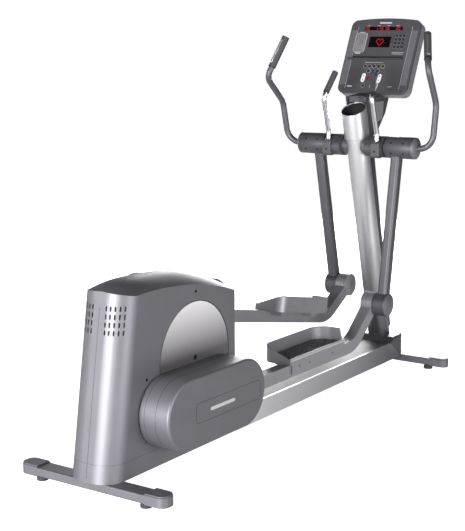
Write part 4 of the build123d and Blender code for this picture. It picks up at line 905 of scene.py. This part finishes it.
columnLook = {"lean": math.radians(14), "rise": 39 * mm, "holder": 56 * mm,
              "rimMiddle": 166.5 * mm, "rimRise": 14.5 * mm, "liner": 52.7 * mm, "linerTop": 146 * mm}
columnAxes = axesAt((0, pivot.y, pivot.z), (1, 0, 0),
                    (0, math.cos(columnLook["lean"]), math.sin(columnLook["lean"])))
rimRadius = columnLook["holder"] - 1.5 * mm
rimLine = []
for step in range(64):
    turn = 2 * math.pi * step / 64
    height = columnLook["rimMiddle"] + columnLook["rimRise"] * math.sin(turn)
    rimLine.append(columnAxes @ Vector((rimRadius * math.cos(turn), rimRadius * math.sin(turn), height)))
tubePiece("holder_rim", rimLine, 1.9 * mm, brightCoat, "base", closed=True)
liner = [(30 * mm, 44 * mm), (51.5 * mm, 44.5 * mm), (columnLook["liner"], 47 * mm),
         (columnLook["liner"], columnLook["linerTop"])]
linerMesh = latheMesh("holderLiner", [liner], steps=64)
for vertex in linerMesh.vertices:
    if vertex.co.z > columnLook["linerTop"] - 1 * mm:
        # the lining stops just under the slanted rim
        slope = columnLook["rimRise"] * vertex.co.y / columnLook["liner"]
        vertex.co.z = columnLook["rimMiddle"] + slope - 2.5 * mm
linerPiece = keep("holder_liner", linerMesh, columnAxes, blackAbs, "base")
linerPiece.modifiers.new("thickness", "SOLIDIFY").thickness = 0.8 * mm
holderSeam = [ringProfile(columnLook["holder"] - 0.3 * mm, columnLook["rise"] + 0.4 * mm, 1.2 * mm)]
turned("holder_seam", holderSeam, columnAxes, blackAbs, "base", 64)
print("column detailed")


# base: crowned bar caps and foot ribs

caps = {"inner": 240 * mm, "tip": 325 * mm, "top": 49.5 * mm, "crown": 5.5 * mm, "inset": 1.5 * mm,
        "cornerShare": 0.42}
bars = {"rear": (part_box("rear_stabilizer")[0][1] + 35 * mm, 70 * mm),
        "front": (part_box("front_stabilizer")[0][1] + 25 * mm, 50 * mm)}
for barName, (barY, barDepth) in bars.items():
    for sideName, side in sides:
        corner = barDepth * caps["cornerShare"]
        outline = [(caps["inner"] + 2 * mm, -barDepth / 2 + caps["inset"])]
        bend = corner - caps["inset"]
        outline += arcPoints((caps["tip"] - corner, -barDepth / 2 + corner), bend, -90, 0, 10)
        outline += arcPoints((caps["tip"] - corner, barDepth / 2 - corner), bend, 0, 90, 10)
        outline.append((caps["inner"] + 2 * mm, barDepth / 2 - caps["inset"]))
        outline = [(side * across, barY + along) for across, along in outline]
        keep(f"{barName}_{sideName}_cap_crown",
             slabMesh("capCrown", [outline], caps["top"] - 0.3 * mm, caps["top"] + caps["crown"]),
             asBuilt, silverLacquer, "base", bevel=2.6 * mm)
        foot = joints[f"{barName}_{sideName}_foot_turn"]
        ribs = [[(19.8 * mm, low * mm), (20.7 * mm, (low + 0.6) * mm), (20.7 * mm, (low + 1.4) * mm),
                 (19.8 * mm, (low + 2) * mm)] for low in (2, 5.2, 8.4)]
        turned(f"{barName}_{sideName}_foot_ribs", ribs, Matrix.Translation((foot.x, foot.y, 0)), padRubber,
               f"{barName}_{sideName}_foot", 48)
print("base detailed")


# console: lamps, printed marks, key rings, ledge and side bands

consoleLook = {"tilt": math.radians(24.7), "centre": (179.5 * mm, 382.5 * mm), "width": 350,
               "corner": 32, "bow": 12, "bowStart": 143}
tilt = consoleLook["tilt"]
consoleAxes = axesAt((0, pivot.y + consoleLook["centre"][0], pivot.z + consoleLook["centre"][1]),
                     (1, 0, 0), (0, math.sin(tilt), math.cos(tilt)))


def scaled(outline):
    return [(u * mm, v * mm) for u, v in outline]


def onConsole(name, outlines, low, high, material, bevel=0, body="base"):
    # flat shapes given in mm on the console's face, raised from low to high
    return keep(name, slabMesh(name, [scaled(line) for line in outlines], low * mm, high * mm),
                consoleAxes, material, body, bevel=bevel, smooth=False)


def spotsOn(name, profile, places, steps, material, body="base"):
    # one turned shape at each place on the console's face, all in one mesh, given in mm
    mesh = latheMesh(name, [scaled(profile)], scaled(places), steps=steps)
    return keep(name, mesh, consoleAxes, material, body)


def ringOn(name, places, radius, width, low, high, material):
    inner = radius - width
    profile = [(inner, low), (inner, high), (radius, high), (radius, low), (inner, low)]
    return spotsOn(name, profile, places, 28, material)


# seven-segment figures: which bars are lit for each one
figureBars = {"0": "abcdef", "1": "bc", "2": "abged", "3": "abgcd", "4": "fgbc", "5": "afgcd",
              "6": "afgedc", "7": "abc", "8": "abcdefg", "9": "abcdfg"}
figure = {"width": 6.2, "height": 11, "bar": 1.5, "gap": 9.5}


def litBars(text, left, middle):
    half = figure["height"] / 2
    width, bar = figure["width"], figure["bar"]
    places = {
        "a": ((width / 2, half), (width - bar, bar)), "d": ((width / 2, -half), (width - bar, bar)),
        "g": ((width / 2, 0), (width - bar, bar)), "b": ((width, half / 2), (bar, half - bar)),
        "f": ((0, half / 2), (bar, half - bar)), "c": ((width, -half / 2), (bar, half - bar)),
        "e": ((0, -half / 2), (bar, half - bar)),
    }
    shapes = []
    for place, character in enumerate(text):
        shift = left + place * figure["gap"]
        if character == ":":
            shapes += [roundedBox((shift + width / 2, middle + up), bar, bar, 0.4, 2) for up in (-2.4, 2.4)]
            continue
        for name in figureBars[character]:
            (u, v), (barWidth, barHeight) = places[name]
            shapes.append(roundedBox((shift + u, middle + v), barWidth, barHeight, 0.5, 2))
    return shapes


strip = {"left": (-97, -46, 4, 50), "figures": ("20", "1:45", "08", "120"), "middle": 137}
bars = []
for left, text in zip(strip["left"], strip["figures"]):
    bars += litBars(text, left, strip["middle"])
onConsole("strip_figures", bars, -1.2, -0.6, redLamp)
onConsole("strip_labels", [roundedBox((left + 12, 150.5), 17, 1.8, 0.5, 2) for left in strip["left"]],
          -0.2, 0.35, paleInk)

# the heart is drawn in lamps on a grid
heart = {"centre": (-12, 70), "pitch": 3.6, "size": 1.6, "rows": (
    "..xx...xx..",
    ".x..x.x..x.",
    "x....x....x",
    "x.........x",
    ".x.......x.",
    "..x.....x..",
    "...x...x...",
    "....x.x....",
    ".....x.....")}
dots = []
for row, line in enumerate(heart["rows"]):
    for column, lit in enumerate(line):
        if lit == "x":
            dots.append((heart["centre"][0] + (column - 5) * heart["pitch"],
                         heart["centre"][1] + (4 - row) * heart["pitch"] * 1.15))
spotsOn("matrix_heart", [(heart["size"], -1.2), (heart["size"], -0.75), (0, -0.6)], dots, 8, redLamp)
dim = [(-62 + column * 4.2, 50 + row * 4.4) for column in range(25) for row in range(11)]
spotsOn("matrix_dark_lamps", [(0.8, -1.2), (0.8, -0.85), (0, -0.8)], dim, 6, oxideSteel)

# profile panel: rows of small lamps in five columns, a few of them lit
chart = {"left": -130, "low": 34, "columns": 5, "pitch": 10, "rows": 17, "step": 4.2, "size": 1.1}
onConsole("profile_plate", [roundedBox((-110, 68), 53, 85, 7.5)], 1.9, 2.2, silverPaint)
dotsLit, dotsDark = [], []
for column in range(chart["columns"]):
    top = 5 + int(5 * (1 + math.sin(column * 1.9)))
    for row in range(chart["rows"]):
        spot = (chart["left"] + column * chart["pitch"], chart["low"] + row * chart["step"])
        (dotsLit if row < top else dotsDark).append(spot)
spotProfile = [(chart["size"], 2.1), (chart["size"], 2.4), (0, 2.6)]
spotsOn("profile_lit", spotProfile, dotsLit, 8, amberLamp)
spotsOn("profile_dark", spotProfile, dotsDark, 8, oxideSteel)
panelEdges = [scaled(roundedBox((-110, 68), *edge)) for edge in ((54, 88, 8), (58, 92, 10))]
panelFrame = bandMesh("profileFrame", *panelEdges, -0.2 * mm, 2.7 * mm)
keep("profile_frame", panelFrame, consoleAxes, paleInk, "base", bevel=0.5 * mm)
onConsole("profile_caption_marks", [roundedBox((-110, 118), 26, 2.2, 0.6, 2),
                                    roundedBox((-112, 17), 30, 5, 1.5, 3)], -0.2, 0.35, paleInk)

# the keys stand where the CAD has them, in mm from the middle of the console's face
numberPlaces = [(86 + 18 * column, 75 + 18 * row) for column in (-1, 0, 1) for row in (-1.5, -0.5, 0.5, 1.5)]
programPlaces = [(-57 + 22.5 * index, -46) for index in range(5)]
programPlaces += [(-35 + 23 * index, -69) for index in range(3)]
lowKey, stopKey = (-47, -139), (7, -139)
ringOn("number_key_rings", numberPlaces, 8.6, 1.1, -0.2, 0.45, silverPaint)
paleRings = programPlaces[:4] + programPlaces[5:] + [lowKey]
ringOn("program_key_rings", paleRings, 9.4, 0.9, -0.2, 0.45, paleInk)
ringOn("start_key_ring", [programPlaces[4]], 9.8, 1.8, -0.2, 0.5, limeInk)
ringOn("stop_key_ring", [stopKey], 21, 3, -0.2, 0.5, whiteKey)


def keyCaps(name, places, radius, material, body):
    # a dished cap with a rounded edge on every key, standing on the CAD key's own top
    profile = [(radius, 2), (radius, 2.5), (radius - 0.5, 2.9), (radius - 1.4, 2.8), (0, 2.3)]
    return spotsOn(name, profile, places, 24, material, body)


keyCaps("number_caps", numberPlaces, 6.3, blackAbs, "number_pad")
keyCaps("program_caps", programPlaces + [lowKey], 7.3, blackAbs, "program_pad")
keyCaps("stop_cap", [stopKey], 12.8, redKey, "stop_button")
for number, (u, v) in enumerate(((-53, -102), (28, -104))):
    arrows = []
    for way in (1, -1):
        middle = (u + way * 0.9, v + way * 10.5)
        arrows.append([(middle[0] - 4.2, middle[1] - way * 2.6), (middle[0] + 4.2, middle[1] - way * 2.6),
                       (middle[0], middle[1] + way * 3.6)])
    onConsole(f"level_arrows_{number}", arrows, 1.9, 2.35, blackAbs, body="level_pad")
    outline = moved(pill((-12, 0), (12, 0), 10.6, 14), 85, (u, v))
    inner = moved(pill((-12, 0), (12, 0), 9.6, 14), 85, (u, v))
    keep(f"level_frame_{number}", bandMesh("levelFrame", scaled(inner), scaled(outline), -0.2 * mm, 0.5 * mm),
         consoleAxes, blackAbs, "base")
onConsole("small_figures", litBars("5", -32, -102) + litBars("8", 3, -102), -1.2, -0.6, redLamp)

# light ribbed bands down both sides, a rubber strip on the ledge, plain badge and caption bars
ribs = []
for side in (1, -1):
    for rib in range(8):
        ribs.append(roundedBox((side * (141 + rib * 3.6), -4), 1.9, 262, 0.9, 3))
onConsole("side_ribs", ribs, -0.2, 1.2, silverPaint, bevel=0.3 * mm)
edges = [roundedBox((side * 136.5, -4), 1.2, 300, 0.5, 2) for side in (1, -1)]
onConsole("side_lines", edges, -0.2, 0.6, paleInk)
onConsole("ledge_pad", [roundedBox((-16, -12), 268, 5, 2, 4)], 8.6, 10.6, padRubber, bevel=0.5 * mm)
onConsole("ledge_shadow", [roundedBox((-16, -3), 272, 11, 1, 3)], -4.2, -3.4, blackAbs)
onConsole("blank_badge", [roundedBox((-2, 164), 62, 7, 3.4, 5)], -0.2, 1.2, paleInk, bevel=0.4 * mm)
captions = [roundedBox((90, 21), 60, 1.6, 0.5, 2), roundedBox((90, 14), 56, 1.6, 0.5, 2),
            roundedBox((-16, -28), 92, 1.3, 0.4, 2), roundedBox((-115, -143), 26, 5, 1.4, 3),
            roundedBox((88, -142), 22, 2.6, 1, 3)]
onConsole("caption_marks", captions, -0.2, 0.35, paleInk)

# a dark gasket line where the front frame meets the back shell
half = consoleLook["width"] / 2


def consoleEdge(grow):
    width = consoleLook["width"] + 2 * grow
    outline = roundedBox((0, 0), width, width, consoleLook["corner"] + grow, 8)
    bow = consoleLook["bow"]  # the top edge is bowed
    return scaled([(u, v + bow * (1 - (u / half) ** 2) if v > consoleLook["bowStart"] else v)
                   for u, v in outline])


keep("console_gasket", bandMesh("consoleGasket", consoleEdge(-0.6), consoleEdge(0.3), -10.8 * mm, -9.4 * mm),
     consoleAxes, blackAbs, "base")
backScrews = []
for across in (-120, 120):
    for up in (-120, 120):
        point = consoleAxes @ Vector((across * mm, up * mm, -64 * mm))
        backScrews.append((point, consoleAxes.to_3x3() @ Vector((0, 0, -1))))
screwSet("console_back_screws", backScrews, 4.5 * mm, 1.4 * mm, "base")
print("console detailed")
